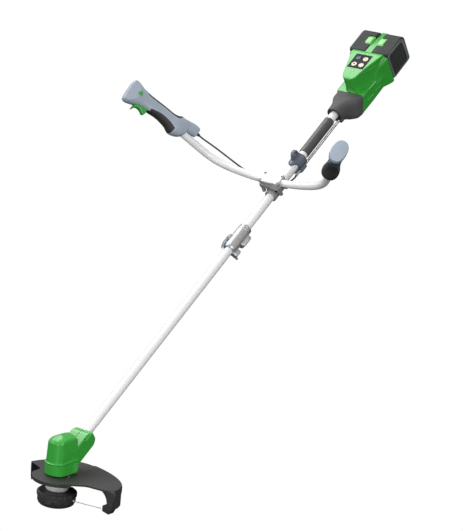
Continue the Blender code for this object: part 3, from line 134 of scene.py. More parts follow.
def soft_light(name, place, aim, size, power):
    """A square area light at place that faces aim."""
    light = bpy.data.objects.new(name, bpy.data.lights.new(name, "AREA"))
    light.data.size = size
    light.data.energy = power
    light.location = place
    light.rotation_euler = (Vector(aim) - Vector(place)).to_track_quat("-Z", "Y").to_euler()
    bpy.context.scene.collection.objects.link(light)


MIDDLE = (-0.7, 0.0, 0.6)
soft_light("overhead_light", (-0.75, -1.8, 3.3), MIDDLE, 2.6, 100.0)
soft_light("front_light", (1.9, -1.9, 1.4), MIDDLE, 1.3, 26.0)
soft_light("left_light", (0.9, 2.6, 1.9), MIDDLE, 1.6, 50.0)
soft_light("low_light", (2.2, 0.85, 0.35), MIDDLE, 0.7, 14.0)
bpy.context.scene.view_settings.view_transform = "Standard"


# Shaft tubes ------------------------------------------------------------------------------------------------
# Two drawn aluminium tubes, stove enamelled white and gloss. The lower one pushes into the coupler's
# split end.

SHAFT_SLOPE = math.radians(36.5)
SHAFT_ROOT = (0.0, 0.0, 0.103)
TUBE_RADIUS, TUBE_BORE = 0.0130, 0.0114
TUBE_JOINT, TUBE_FOOT, TUBE_TOP = 0.8725, 0.0640, 1.4900
GAP = 0.0003


def axes(parent, origin, axis, angle):
    """The 4x4 place of a frame: moved to origin in its parent, then turned by angle about one of its
    own axes."""
    move = np.array(Matrix.Translation(origin) @ Matrix.Rotation(angle, 4, axis), float)
    return parent @ move


WORLD = np.eye(4)
SHAFT = axes(WORLD, SHAFT_ROOT, "Y", SHAFT_SLOPE - math.pi / 2)


def place_in(frame_axes, points):
    """Points of a frame, as world points."""
    return points @ frame_axes[:3, :3].T + frame_axes[:3, 3]


def stack(*columns):
    """Coordinates that broadcast against each other, as one array of points."""
    return np.stack(np.broadcast_arrays(*columns), axis=-1).astype(float)


def grid_faces(rows, columns, wrap_rows=False):
    """Quads of a grid whose columns wrap round, and whose rows wrap too on a ring."""
    row = np.arange(rows if wrap_rows else rows - 1)[:, None]
    column = np.arange(columns)[None, :]
    below, right = (row + 1) % rows, (column + 1) % columns
    quads = np.stack((row * columns + column, row * columns + right, below * columns + right,
                      below * columns + column), -1)
    return quads.reshape(-1, 4).tolist()


def add_piece(name, points, faces, body, material, nodes=(), crease=40.0, weld=0.0):
    """A mesh piece: its doubles merged, its faces turned outwards, shaded smooth but for edges past
    the crease."""
    mesh = bpy.data.meshes.new(name)
    mesh.from_pydata(np.asarray(points, float).reshape(-1, 3).tolist(), [], faces)
    work = bmesh.new()
    work.from_mesh(mesh)
    if weld:
        bmesh.ops.remove_doubles(work, verts=work.verts, dist=weld)
    if work.calc_volume(signed=True) < 0:
        bmesh.ops.reverse_faces(work, faces=work.faces)
    work.to_mesh(mesh)
    work.free()
    mesh.shade_smooth()
    mesh.set_sharp_from_angle(angle=math.radians(crease))
    mesh.materials.append(material)
    piece = bpy.data.objects.new(name, mesh)
    bpy.context.scene.collection.objects.link(piece)
    if body:
        finish_piece(piece, body, nodes)
    return piece


def finish_piece(piece, body, nodes=()):
    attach(piece, body)
    if nodes:
        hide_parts(*nodes)
    return piece


def skin(name, rings, body, material, nodes=(), slot=None, crease=40.0, weld=0.0):
    """A closed skin through rings of points, each ring a row, with a flat face on the first and the last."""
    rows, columns = rings.shape[:2]
    faces = grid_faces(rows, columns)
    faces.append(list(range(columns))[::-1])
    faces.append([(rows - 1) * columns + i for i in range(columns)])
    return add_piece(name, rings, faces, body, material, nodes, crease, weld)


def soften(points, radius, steps=4, closed=True):
    """A chain of plane points with each corner replaced by a short parabola that starts radius before it."""
    points = np.asarray(points, float)
    before, after = np.roll(points, 1, axis=0), np.roll(points, -1, axis=0)
    reach_back, reach_on = before - points, after - points
    long_back, long_on = (np.linalg.norm(d, axis=1, keepdims=True) for d in (reach_back, reach_on))
    radius = np.broadcast_to(np.asarray(radius, float).reshape(-1, 1), (len(points), 1))
    a = points + reach_back * np.minimum(radius / long_back, 0.49)
    c = points + reach_on * np.minimum(radius / long_on, 0.49)
    u = np.linspace(0.0, 1.0, steps + 1)[None, :, None]
    curved = (1 - u) ** 2 * a[:, None] + 2 * u * (1 - u) * points[:, None] + u**2 * c[:, None]
    if closed:
        return curved.reshape(-1, points.shape[1])
    return np.concatenate((points[:1], curved[1:-1].reshape(-1, points.shape[1]), points[-1:]))


def turned(name, profile, frame_axes, body, material, nodes=(), closed=True, around=72,
           ripple=None, crease=35.0):
    """A turned piece. Each profile point (radius, height) runs round the Z axis: x = r cos a, y = r
    sin a, z = h.
    ripple gives the share of the radius that is left at each angle, radius and height."""
    profile = np.asarray(profile, float)
    angle = np.arange(around) * 2 * math.pi / around
    radius = profile[:, :1] * np.ones(around)
    height = profile[:, 1:] * np.ones(around)
    if ripple is not None:
        radius = radius * ripple(angle[None, :], radius, height)
    rings = place_in(frame_axes, stack(radius * np.cos(angle), radius * np.sin(angle), height))
    faces = grid_faces(len(profile), around, wrap_rows=closed)
    return add_piece(name, rings, faces, body, material, nodes, crease, 0.0 if closed else 1e-7)


def texture_of(nodes, links, scale, detail=3.0, stretch=(1.0, 1.0, 1.0)):
    """Noise on Object coordinates. scale is in cycles a metre, and stretch draws it out along an axis."""
    place = nodes.new("ShaderNodeTexCoord")
    mapping = nodes.new("ShaderNodeMapping")
    mapping.inputs["Scale"].default_value = stretch
    noise = nodes.new("ShaderNodeTexNoise")
    noise.inputs["Scale"].default_value = scale
    noise.inputs["Detail"].default_value = detail
    links.new(place.outputs["Object"], mapping.inputs["Vector"])
    links.new(mapping.outputs["Vector"], noise.inputs["Vector"])
    return noise.outputs["Fac"]


def ramp_of(nodes, links, value, low, high, low_colour, high_colour):
    """A colour that goes from low_colour to high_colour as value goes from low to high."""
    ramp = nodes.new("ShaderNodeValToRGB")
    ramp.color_ramp.elements[0].position, ramp.color_ramp.elements[1].position = low, high
    ramp.color_ramp.elements[0].color = (*low_colour, 1.0)
    ramp.color_ramp.elements[1].color = (*high_colour, 1.0)
    links.new(value, ramp.inputs["Fac"])
    return ramp.outputs["Color"]


def add_bump(nodes, links, shader, value, depth):
    """Raises the surface by up to depth metres where value is 1."""
    bump = nodes.new("ShaderNodeBump")
    bump.inputs["Strength"].default_value = 1.0
    bump.inputs["Distance"].default_value = depth
    links.new(value, bump.inputs["Height"])
    links.new(bump.outputs["Normal"], shader.inputs["Normal"])


def finish_of(name, colour, roughness, metallic=0.0, mottle=0.06, cloud=14.0, grain=1800.0, depth=0.00004,
              coat=0.0, specular=0.5, stretch=(1.0, 1.0, 1.0)):
    """A moulded, painted or cast finish: colour that clouds a little, roughness that follows it, a
    fine grain."""
    material, nodes, links = new_material(name)
    shader = nodes["Principled BSDF"]
    shader.inputs["Metallic"].default_value = metallic
    shader.inputs["Specular IOR Level"].default_value = specular
    shader.inputs["Coat Weight"].default_value = coat
    shader.inputs["Coat Roughness"].default_value = 0.12
    clouds = texture_of(nodes, links, cloud, stretch=stretch)
    low_colour = tuple(c * (1 - mottle) for c in colour)
    high_colour = tuple(min(1.0, c * (1 + mottle)) for c in colour)
    links.new(ramp_of(nodes, links, clouds, 0.3, 0.7, low_colour, high_colour), shader.inputs["Base Color"])
    wear = texture_of(nodes, links, cloud * 6.0, 5.0, stretch)
    spread = nodes.new("ShaderNodeMapRange")
    spread.inputs["To Min"].default_value = roughness * 0.85
    spread.inputs["To Max"].default_value = min(1.0, roughness * 1.15)
    links.new(wear, spread.inputs["Value"])
    links.new(spread.outputs["Result"], shader.inputs["Roughness"])
    if depth:
        add_bump(nodes, links, shader, texture_of(nodes, links, grain, 2.0, stretch), depth)
    return material


WHITE_ENAMEL = finish_of("white_enamel", (0.78, 0.78, 0.79), 0.28, mottle=0.01, depth=0.0, coat=0.4)

for tube_name, low, high, body in (
    ("lower_tube", TUBE_FOOT, TUBE_JOINT - GAP / 2, "lower_shaft"),
    ("upper_tube", TUBE_JOINT + GAP / 2, TUBE_TOP, "frame"),
):
    wall = soften([(TUBE_RADIUS, high), (TUBE_RADIUS, low), (TUBE_BORE, low), (TUBE_BORE, high)], 0.0004)
    turned(tube_name, wall, SHAFT, body, WHITE_ENAMEL, (tube_name,), around=96)


# Line head --------------------------------------------------------------------------------------------------
# A glass filled nylon bump head: a ribbed housing with a snap-on cover, the bump knob under it, a steel eyelet
# where the line comes out, and a cast drive flange that joins it to the motor's spindle.

HEAD_RADIUS, HEAD_TOP = 0.0540, 0.0420
COVER_RADIUS, COVER_TOP = 0.0515, 0.0277
KNOB_RADIUS = 0.0225
LINE_HEIGHT, LINE_RADIUS = 0.0215, 0.00105
LINE_BEARING = math.radians(100.0)
RIM_NOTCHES, GRIP_FLUTES = 18, 12

HEAD_NYLON = finish_of("head_nylon", (0.030, 0.030, 0.031), 0.42, mottle=0.18, cloud=40.0, grain=1500.0,
                       depth=0.00008)
KNOB_NYLON = finish_of("knob_nylon", (0.022, 0.022, 0.023), 0.50, mottle=0.2, cloud=60.0, grain=1100.0,
                       depth=0.0001)
BRIGHT_STEEL = finish_of("bright_steel", (0.70, 0.70, 0.71), 0.24, metallic=1.0, mottle=0.05, cloud=80.0,
                         grain=900.0, depth=0.00002)
CAST_FLANGE = finish_of("cast_flange", (0.90, 0.90, 0.91), 0.42, metallic=0.2, mottle=0.06, cloud=60.0,
                        grain=800.0, depth=0.00006)
LINE_NYLON = finish_of("line_nylon", (0.62, 0.62, 0.63), 0.4, mottle=0.08, cloud=120.0, grain=900.0,
                       depth=0.00002)


def notched_rim(angle, radius, height):
    """Shallow notches cut in the housing's outer rim, evenly round it."""
    notch = np.clip((np.cos(RIM_NOTCHES * angle) - 0.55) / 0.25, 0.0, 1.0)
    return 1.0 - 0.030 * notch * (radius > 0.0505) * (height > 0.0286)


def fluted_grip(angle, radius, height):
    """Finger flutes down the cover's side, deepest at half its height."""
    swell = np.clip(1.0 - ((height - 0.0135) / 0.0085) ** 2, 0.0, 1.0)
    flute = np.clip((np.cos(GRIP_FLUTES * angle) - 0.25) / 0.6, 0.0, 1.0)
    return 1.0 - 0.050 * flute * swell * (radius > 0.0400)


housing_profile = soften(
    [(0.0050, HEAD_TOP), (0.0300, HEAD_TOP), (0.0320, 0.0412), (0.0440, 0.0412), (0.0460, HEAD_TOP),
     (0.0500, HEAD_TOP), (HEAD_RADIUS, 0.0385), (HEAD_RADIUS, 0.0345), (0.0530, 0.0338),
     (HEAD_RADIUS, 0.0331), (HEAD_RADIUS, 0.0290), (0.0515, 0.0282), (0.0480, 0.0282), (0.0480, 0.0385),
     (0.0050, 0.0385)],
    0.0007,
)
turned("spool_housing", housing_profile, WORLD, "line_head", HEAD_NYLON, ("spool_housing",),
       around=288, ripple=notched_rim)
cover_profile = soften(
    [(COVER_RADIUS, COVER_TOP), (COVER_RADIUS, 0.0215), (COVER_RADIUS, 0.0150), (0.0495, 0.0100),
     (0.0475, 0.0065), (0.0440, 0.0040), (0.0400, 0.0020), (0.0360, 0.0011), (0.0320, 0.0006),
     (KNOB_RADIUS + 0.0004, 0.0006), (KNOB_RADIUS + 0.0004, 0.0040), (0.0370, 0.0052), (0.0440, 0.0095),
     (0.0480, 0.0160), (0.0480, COVER_TOP)],
    0.0008,
)
turned("spool_cover", cover_profile, WORLD, "line_head", HEAD_NYLON, ("spool_cover",),
       around=240, ripple=fluted_grip)
knob_profile = soften(
    [(0.0, 0.0130), (0.0060, 0.0125), (0.0060, 0.0080), (0.0270, 0.0078), (0.0270, 0.0060),
     (KNOB_RADIUS, 0.0057), (KNOB_RADIUS, 0.0020), (0.0190, 0.0), (0.0150, 0.0), (0.0140, 0.0010),
     (0.0125, 0.0010), (0.0115, 0.0), (0.0, 0.0)],
    0.0006, closed=False,
)
turned("bump_knob", knob_profile, WORLD, "knob", KNOB_NYLON, ("bump_knob",), closed=False,
       around=96)
flange_profile = soften(
    [(0.0120, 0.0835), (0.0120, 0.0680), (0.0160, 0.0635), (0.0300, 0.0612), (0.0340, 0.0596),
     (0.0340, 0.0560), (0.0325, 0.0510), (0.0310, 0.0470), (0.0270, 0.0428), (0.0043, 0.0428),
     (0.0043, 0.0835)],
    0.0009,
)
turned("drive_flange", flange_profile, WORLD, "line_head", CAST_FLANGE, ("drive_flange",), around=96)

LINE_AXES = axes(axes(WORLD, (0.0, 0.0, LINE_HEIGHT), "Z", LINE_BEARING), (0.0, 0.0, 0.0), "Y", math.pi / 2)
eyelet_profile = soften([(0.0016, 0.0470), (0.0038, 0.0470), (0.0038, 0.0520), (0.0058, 0.0524),
                         (0.0058, 0.0536), (0.0030, 0.0543), (0.0016, 0.0536)], 0.0005)
turned("line_eyelet", eyelet_profile, LINE_AXES, "line_head", BRIGHT_STEEL, ("line_eyelet",),
       around=40)
line_end = max(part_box("cutting_line")[1].y, 0.10) / math.sin(LINE_BEARING)
line_profile = soften([(0.0, 0.0430), (LINE_RADIUS, 0.0430), (LINE_RADIUS, line_end - 0.0002),
                       (0.0, line_end - 0.0002)], 0.0002, closed=False)
turned("cutting_line", line_profile, LINE_AXES, "line_head", LINE_NYLON, ("cutting_line",),
       closed=False, around=16)


# Guard ------------------------------------------------------------------------------------------------------
# One moulded black polypropylene shield: a round front over the line head, a broad fan behind it with a skirt
# round its edge, and a hook on its far end that carries the steel line cutter.

GUARD_TOP, GUARD_WALL = 0.0890, 0.0030
DISC_CENTRE, DISC_RADIUS = np.array((0.0041, 0.0127)), 0.078
SKIRT_BOTTOM, LIP_DEPTH, EDGE_DEPTH = 0.035, 0.0125, 0.0050
HUB_RADIUS = 0.0140
FAN_BEARINGS = (89, 95, 104, 115, 129, 150, 172, 192, 215, 240, 260)
FAN_REACH = (0.189, 0.191, 0.187, 0.173, 0.152, 0.133, 0.127, 0.127, 0.124, 0.119, 0.116)
FRONT_EDGE = ((0.018, 0.112), (0.014, 0.143), (0.011, 0.168))
SCALLOP = ((-0.018, -0.104), (-0.008, -0.080), (-0.001, -0.063), (0.010, -0.057), (0.028, -0.058))

GUARD_PLASTIC = finish_of("guard_plastic", (0.031, 0.029, 0.029), 0.58, specular=0.35, mottle=0.10,
                          cloud=22.0, grain=900.0, depth=0.00010)


def resample(chain, spacing):
    """A closed chain of plane points, spaced evenly along its length."""
    loop = np.vstack((chain, chain[:1]))
    length = np.concatenate(([0.0], np.cumsum(np.linalg.norm(np.diff(loop, axis=0), axis=1))))
    count = int(round(length[-1] / spacing))
    at = np.arange(count) * length[-1] / count
    return np.stack([np.interp(at, length, loop[:, i]) for i in range(2)], axis=1)


def outward_of(loop):
    """The outward normal at each point of a closed anticlockwise loop."""
    along = np.roll(loop, -1, axis=0) - np.roll(loop, 1, axis=0)
    along /= np.linalg.norm(along, axis=1, keepdims=True)
    return np.stack((along[:, 1], -along[:, 0]), axis=1)


disc_angles = np.radians(np.linspace(-60, 52, 40))
disc_arc = DISC_CENTRE + DISC_RADIUS * np.stack((np.cos(disc_angles), np.sin(disc_angles)), axis=1)
fan_angles = np.radians(np.linspace(FAN_BEARINGS[0], FAN_BEARINGS[-1], 60))
fan_reach = np.interp(np.degrees(fan_angles), FAN_BEARINGS, FAN_REACH)
fan_reach = np.convolve(np.pad(fan_reach, 3, mode="edge"), np.full(7, 1 / 7), mode="valid")
fan_arc = fan_reach[:, None] * np.stack((np.cos(fan_angles), np.sin(fan_angles)), axis=1)
guard_outline = soften(np.vstack((disc_arc, FRONT_EDGE, fan_arc, SCALLOP)), 0.008, 3)
guard_outline = resample(guard_outline, 0.0022)
guard_normal = outward_of(guard_outline)
guard_bearing = np.degrees(np.arctan2(guard_outline[:, 1], guard_outline[:, 0])) % 360
on_fan = (guard_bearing > 87.5) & (guard_bearing < 259.0)
on_disc = np.linalg.norm(guard_outline - DISC_CENTRE, axis=1) < DISC_RADIUS + 0.0006
edge_drop = np.where(on_fan, GUARD_TOP - SKIRT_BOTTOM, np.where(on_disc, LIP_DEPTH, EDGE_DEPTH + 0.001))
edge_drop = np.convolve(np.pad(edge_drop, 1, mode="wrap"), (0.2, 0.6, 0.2), mode="valid")


def guard_height(points):
    """The top's height: a shallow raised step behind a line that runs from the front edge to the back."""
    start, end = np.array((0.050, 0.058)), np.array((-0.118, 0.025))
    along = (end - start) / np.linalg.norm(end - start)
    side = (points - start) @ np.array((along[1], -along[0]))
    step = np.clip((side + 0.003) / 0.006, 0.0, 1.0)
    ridge = np.exp(-(((side + 0.002) / 0.0026) ** 2))
    return -0.0020 * (1 - step * step * (3 - 2 * step)) + 0.0012 * ridge


def guard_ring(share, inset, drop):
    """One ring of the guard: share of the way from the hub to the edge, set in by inset and lowered by
    drop."""
    plan = guard_outline - guard_normal * inset
    hub = HUB_RADIUS * plan / np.linalg.norm(plan, axis=1, keepdims=True)
    plan = hub + (plan - hub) * share
    lower = np.minimum(drop, 1.0) * np.ones(len(plan))
    return np.column_stack((plan, GUARD_TOP + guard_height(plan) * max(0.0, 1 - lower.min() / 0.004) - lower))


shares = np.concatenate((np.linspace(0.0, 0.9, 46), np.linspace(0.92, 1.0, 6)))
top_rings = [guard_ring(s, 0.0016, 0.0) for s in shares]
edge_rings = [guard_ring(1.0, 0.0016 * (1 - math.sin(a)), 0.0016 * (1 - math.cos(a)))
              for a in np.radians((20, 45, 70, 90))]
wall_rings = [guard_ring(1.0, 0.0, 0.0016 + (edge_drop - 0.0026) * s) for s in np.linspace(0.2, 1.0, 6)]
foot_rings = [guard_ring(1.0, GUARD_WALL * s, edge_drop + d) for s, d in ((0.2, -0.0003), (0.5, 0.0),
                                                                          (0.8, -0.0003))]
inner_rings = [guard_ring(1.0, GUARD_WALL, edge_drop - (edge_drop - GUARD_WALL + 0.0002) * s)
               for s in np.linspace(0.15, 1.0, 5)]
under_rings = [guard_ring(s, GUARD_WALL, GUARD_WALL) for s in np.linspace(0.96, 0.0, 16)]
guard_rings = np.stack(top_rings + edge_rings + wall_rings + foot_rings + inner_rings + under_rings)
guard_shell = add_piece("guard", guard_rings, grid_faces(len(guard_rings), len(guard_outline),
                                                         wrap_rows=True), None, GUARD_PLASTIC, crease=50.0)


def slab(name, outline, low, high, edge, frame_axes, body, material, nodes=(), slot=None, plane="XY", steps=3,
         crease=50.0):
    """A flat outline raised from low to high, its rims rounded by insetting it along a quarter circle.
    plane names the two axes that the outline lies in; it is raised along the third."""
    steps = steps if edge else 0
    outline = np.asarray(outline, float)
    area = np.sum(outline[:, 0] * np.roll(outline[:, 1], -1) - np.roll(outline[:, 0], -1) * outline[:, 1])
    outline = outline if area > 0 else outline[::-1]
    normal = outward_of(outline)
    swing = np.linspace(0.0, math.pi / 2, steps + 1)
    inset = np.concatenate((edge * (1 - np.sin(swing)), edge * (1 - np.sin(swing[::-1]))))
    level = np.concatenate((low + edge * (1 - np.cos(swing)), high - edge * (1 - np.cos(swing[::-1]))))
    flat = outline[None] - normal[None] * inset[:, None, None]
    raised = level[:, None] * np.ones(len(outline))
    order = {"XY": (flat[..., 0], flat[..., 1], raised), "XZ": (flat[..., 0], raised, flat[..., 1]),
             "YZ": (raised, flat[..., 0], flat[..., 1])}[plane]
    return skin(name, place_in(frame_axes, stack(*order)), body, material, nodes, slot, crease)


def rectangle(low, high, radius, steps=5):
    """A rectangle's corners, rounded."""
    (x0, y0), (x1, y1) = low, high
    return soften([(x0, y0), (x1, y0), (x1, y1), (x0, y1)], radius * 1.2, steps)


def is_closed(piece):
    work = bmesh.new()
    work.from_mesh(piece.data)
    closed = all(edge.is_manifold for edge in work.edges)
    work.free()
    return closed


def combined(piece, others, operation="UNION"):
    """The piece with the others joined to it, or cut from it, as one closed mesh."""
    quick = all(is_closed(each) for each in (piece, *others))
    for other in others:
        modifier = piece.modifiers.new(other.name, "BOOLEAN")
        modifier.operation = operation
        modifier.object = other
        modifier.solver = "MANIFOLD" if quick else "EXACT"
    graph = bpy.context.evaluated_depsgraph_get()
    mesh = bpy.data.meshes.new_from_object(piece.evaluated_get(graph))
    piece.modifiers.clear()
    piece.data = mesh
    for other in others:
        bpy.data.objects.remove(other)
    mesh.shade_smooth()
    mesh.set_sharp_from_angle(angle=math.radians(40.0))
    return piece


hook_profile = soften([(0.1640, 0.0465), (0.1632, 0.0300), (0.1860, 0.0252), (0.1935, 0.0380),
                       (0.1945, 0.0560), (0.1790, 0.0600), (0.1790, 0.0480)], 0.003, 3)
hook = slab("guard_hook", hook_profile, -0.0100, 0.0105, 0.0012, WORLD, None, GUARD_PLASTIC, plane="YZ")
end_profile = soften([(0.1440, 0.0872), (0.1560, 0.0820), (0.1660, 0.0740), (0.1725, 0.0640),
                      (0.1750, 0.0520), (0.1745, 0.0400), (0.1945, 0.0400), (0.1950, 0.0560),
                      (0.1990, 0.0640), (0.1990, 0.0790), (0.1930, 0.0872)], 0.003, 3)
end_wall = slab("guard_end_wall", end_profile, -0.0030, 0.0080, 0.0010, WORLD, None, GUARD_PLASTIC,
                plane="YZ")
lug_axes = axes(WORLD, (0.0, 0.0, 0.0), "Z", math.radians(119.0))
lug = slab("guard_lug", rectangle((0.160, -0.017), (0.1720, 0.017), 0.004), 0.052, 0.072, 0.002, lug_axes,
           None, GUARD_PLASTIC)
finish_piece(combined(guard_shell, [hook, end_wall, lug]), "lower_shaft", ("guard",))

CUTTER_PLACE = (0.178, 0.037)
blade_outline = soften([(0.1660, 0.0300), (0.1840, 0.0270), (0.1850, 0.0440), (0.1670, 0.0440)], 0.002, 3)
slab("line_cutter", blade_outline, -0.0118, -0.0103, 0.0003, WORLD, "lower_shaft", BRIGHT_STEEL,
     ("line_cutter",), "steel", plane="YZ")


def screw_head(name, frame_axes, radius, low, high, body, material, nodes=()):
    """A pan head on its shank, turned, with a hexagon socket sunk into its face."""
    rim = soften([(0.0, low), (radius * 0.55, low), (radius * 0.55, high - radius * 0.75),
                  (radius, high - radius * 0.75), (radius, high - radius * 0.2), (radius * 0.85, high),
                  (radius * 0.5, high), (radius * 0.45, high - radius * 0.35), (0.0, high - radius * 0.35)],
                 radius * 0.08, closed=False)

    def socket(angle, spread, height):
        flat = math.cos(math.pi / 6) / np.cos((angle + math.pi / 6) % (math.pi / 3) - math.pi / 6)
        return np.where((spread < radius * 0.52) & (height > high - radius * 0.5), flat, 1.0)

    return turned(name, rim, frame_axes, body, material, nodes, closed=False, around=48, ripple=socket)


cutter_axes = axes(WORLD, (0.0, *CUTTER_PLACE), "Y", -math.pi / 2)
screw_head("cutter_screw", cutter_axes, 0.0040, 0.0, 0.0145, "lower_shaft", BRIGHT_STEEL, ("cutter_screw",))
GUARD_SCREW_REACH = 0.0356
for side, sign in (("right", -1), ("left", 1)):
    screw_axes = axes(WORLD, (0.0, sign * GUARD_SCREW_REACH, 0.0), "X", math.pi)
    screw_head(f"guard_screw_{side}", screw_axes, 0.0036, -0.0900, -0.0830, "lower_shaft", BRIGHT_STEEL,
               (f"guard_screw_{side}",))


# Motor housing ----------------------------------------------------------------------------------------------
# Two glass filled nylon half shells, moulded bright green and screwed together on the middle plane. They hold
# the motor over the line head, and a split collar at the back grips the shaft.

FOOT_HEIGHT, RIDGE_HEIGHT, DOME_TOP = 0.0893, 0.1215, 0.2050
BASE_RADIUS, COLUMN_RADIUS, HOUSING_HALF = 0.0380, 0.0358, 0.0290
HOUSING_BACK = -0.0470
COLLAR_END, COLLAR_HALF = 0.130, 0.0235
SEAM_HALF, SEAM_DEPTH = 0.0006, 0.0007
COLUMN_SPACING, RAY_REACH = 0.0008, 0.12

GREEN_NYLON = finish_of("green_nylon", (0.030, 0.345, 0.034), 0.32, mottle=0.05, cloud=16.0, grain=1300.0,
                        depth=0.000006, coat=0.25)


def soft_max(a, b, width):
    """The greater of two fields, rounded over width where they meet."""
    near = np.maximum(width - np.abs(a - b), 0.0) / width
    return np.maximum(a, b) + near * near * width / 4


def soft_min(a, b, width):
    return -soft_max(-a, -b, width)


def bump_at(distance, width, height):
    """A raised bead, or a groove where height is below 0, across a distance from its middle line."""
    return height * np.exp(-((distance / width) ** 2))


def segment_distance(points, start, end):
    """How far plane points are from a straight run."""
    start, end = np.asarray(start, float), np.asarray(end, float)
    along = end - start
    share = np.clip(((points - start) @ along) / (along @ along), 0.0, 1.0)
    return np.linalg.norm(points - start - share[..., None] * along, axis=-1)


def ray_surface(origins, directions, field, reach):
    """Where rays from inside a solid leave it. field is below 0 inside, and each span is halved 24 times."""
    low = np.zeros(np.broadcast_shapes(origins.shape, directions.shape)[:-1])
    high = np.full(low.shape, reach)
    for _ in range(24):
        middle = (low + high) / 2
        inside = field(origins + directions * middle[..., None]) < 0
        low, high = np.where(inside, middle, low), np.where(inside, high, middle)
    return origins + directions * low[..., None]


def column_field(points):
    """The motor column over its round base: a tapered drum between two flat sides, under a domed top."""
    x, y, z = np.moveaxis(points, -1, 0)
    ridge = RIDGE_HEIGHT + np.clip(0.030 - x, 0.0, 0.075) * 0.085
    radius = COLUMN_RADIUS - 0.045 * np.clip(z - RIDGE_HEIGHT, 0.0, 0.06) - 1.8 * np.clip(z - 0.175, 0.0,
                                                                                          0.03) ** 2 / 0.03
    drum = np.hypot(x, y) - radius
    back = soft_max(np.hypot(np.maximum(x, 0.0), y) - radius, -x - 0.0400, 0.010)
    column = soft_max(np.where(x > 0, drum, back), np.abs(y) - HOUSING_HALF + 0.10 * np.clip(z - 0.15, 0, 1),
                      0.0022)
    column = soft_max(column, z - DOME_TOP, 0.030)
    base = soft_max(np.hypot(np.maximum(x, 0.0), y) - BASE_RADIUS, np.abs(y) - 0.0318, 0.006)
    base = soft_max(base, HOUSING_BACK - x, 0.010)
    base = soft_max(base, z - ridge, 0.0016)
    shape = soft_min(column, base, 0.0012)
    shape = soft_max(shape, FOOT_HEIGHT - z, 0.0020)
    shape = shape - bump_at(z - ridge, 0.0015, 0.0016) * (x > -0.030)
    for step in range(3):
        height = 0.1030 + 0.0062 * step
        run = segment_distance(np.stack((x, z), -1), (-0.038, height), (-0.024, height - 0.0025))
        shape = shape - bump_at(run, 0.0010, 0.0011) + bump_at(run - 0.0026, 0.0009, 0.0014)
    return shape + bump_at(y, SEAM_HALF, SEAM_DEPTH)


def collar_field(points):
    """The collar round the shaft: a flat sided block with a rounded end and a lipped slot on each side."""
    n, v, t = np.moveaxis(points, -1, 0)
    block = soft_max(np.abs(n) - COLLAR_HALF, np.abs(v) - HOUSING_HALF, 0.0040)
    block = soft_max(block, t - COLLAR_END + 2.2 * np.maximum(np.abs(n) - 0.008, 0.0) ** 2 / 0.03, 0.0045)
    flat = np.stack((t, n), -1)
    lip = np.minimum(segment_distance(flat, (0.140, 0.0125), (0.096, 0.0125)),
                     segment_distance(flat, (0.096, 0.0125), (0.091, 0.0190)))
    slot = np.minimum(segment_distance(flat, (0.140, 0.0160), (0.098, 0.0160)),
                      segment_distance(flat, (0.098, 0.0160), (0.095, 0.0200)))
    block = block - bump_at(lip, 0.0011, 0.0014) + bump_at(slot, 0.0012, 0.0022)
    return block + bump_at(v, SEAM_HALF, SEAM_DEPTH)


def turn_of(count):
    return np.arange(count) * 2 * math.pi / count


def column_skin(name, field, frame_axes, low, high, dome, around, body, material, **more):
    """A skin found by rays from a frame's Z axis: level ones from low to high, then, over a dome,
    rising ones."""
    heights = np.linspace(low, high, max(3, int(round((high - low) / COLUMN_SPACING))))
    angle = turn_of(around)[None, :]
    level = stack(np.cos(angle), np.sin(angle), 0.0) * np.ones((len(heights), 1, 1))
    origins = stack(0.0, 0.0, heights[:, None])
    if dome:
        lift = np.linspace(0.0, math.pi / 2, dome + 1)[1:, None]
        rising = stack(np.cos(lift) * np.cos(angle), np.cos(lift) * np.sin(angle),
                       np.sin(lift) * np.ones(around))
        level = np.concatenate((level, rising))
        origins = np.concatenate((origins, np.repeat(origins[-1:], dome, axis=0)))
    rings = ray_surface(origins, level, field, RAY_REACH)
    return skin(name, place_in(frame_axes, rings), body, material, weld=2e-6 if dome else 0.0, **more)


def cylinder(name, radius, low, high, frame_axes, around=48):
    return turned(name, [(0.0, high), (radius, high), (radius, low), (0.0, low)], frame_axes, None,
                  GREEN_NYLON, closed=False, around=around)


def block(name, low, high, frame_axes, radius=0.0):
    """A rounded block between two corners, for cuts and small pieces."""
    if radius:
        return slab(name, rectangle(low[:2], high[:2], radius), low[2], high[2], radius * 0.6, frame_axes,
                    None, GREEN_NYLON)
    corners = np.array([[x, y, z] for z in (low[2], high[2]) for y in (low[1], high[1])
                        for x in (low[0], high[0])])
    faces = [(0, 1, 3, 2), (4, 6, 7, 5), (0, 4, 5, 1), (1, 5, 7, 3), (3, 7, 6, 2), (2, 6, 4, 0)]
    return add_piece(name, place_in(frame_axes, corners), faces, None, GREEN_NYLON)


def halved(whole, frame_axes, body, names):
    """Splits a shell on its middle plane into a right and a left half, with the parting gap between them."""
    for name, low, high in ((names[0], -1.0, -GAP / 2), (names[1], GAP / 2, 1.0)):
        half = bpy.data.objects.new(name, whole.data.copy())
        bpy.context.scene.collection.objects.link(half)
        region = block(f"{name}_region", (-3.0, low, -3.0), (3.0, high, 3.0), frame_axes)
        finish_piece(combined(half, [region], "INTERSECT"), body, (name,))
    bpy.data.objects.remove(whole)


motor_shell = column_skin("motor_shell", column_field, WORLD, FOOT_HEIGHT + 0.00005, 0.165, 50, 220, None,
                          GREEN_NYLON)
collar = column_skin("collar", collar_field, SHAFT, 0.030, COLLAR_END - 0.00005, 0, 220, None, GREEN_NYLON)
motor_shell = combined(motor_shell, [collar])
motor_shell = combined(motor_shell, [cylinder("tube_recess", TUBE_RADIUS + 0.0007, 0.118, 0.160, SHAFT)],
                       "DIFFERENCE")
halved(motor_shell, WORLD, "lower_shaft", ("motor_housing_right", "motor_housing_left"))


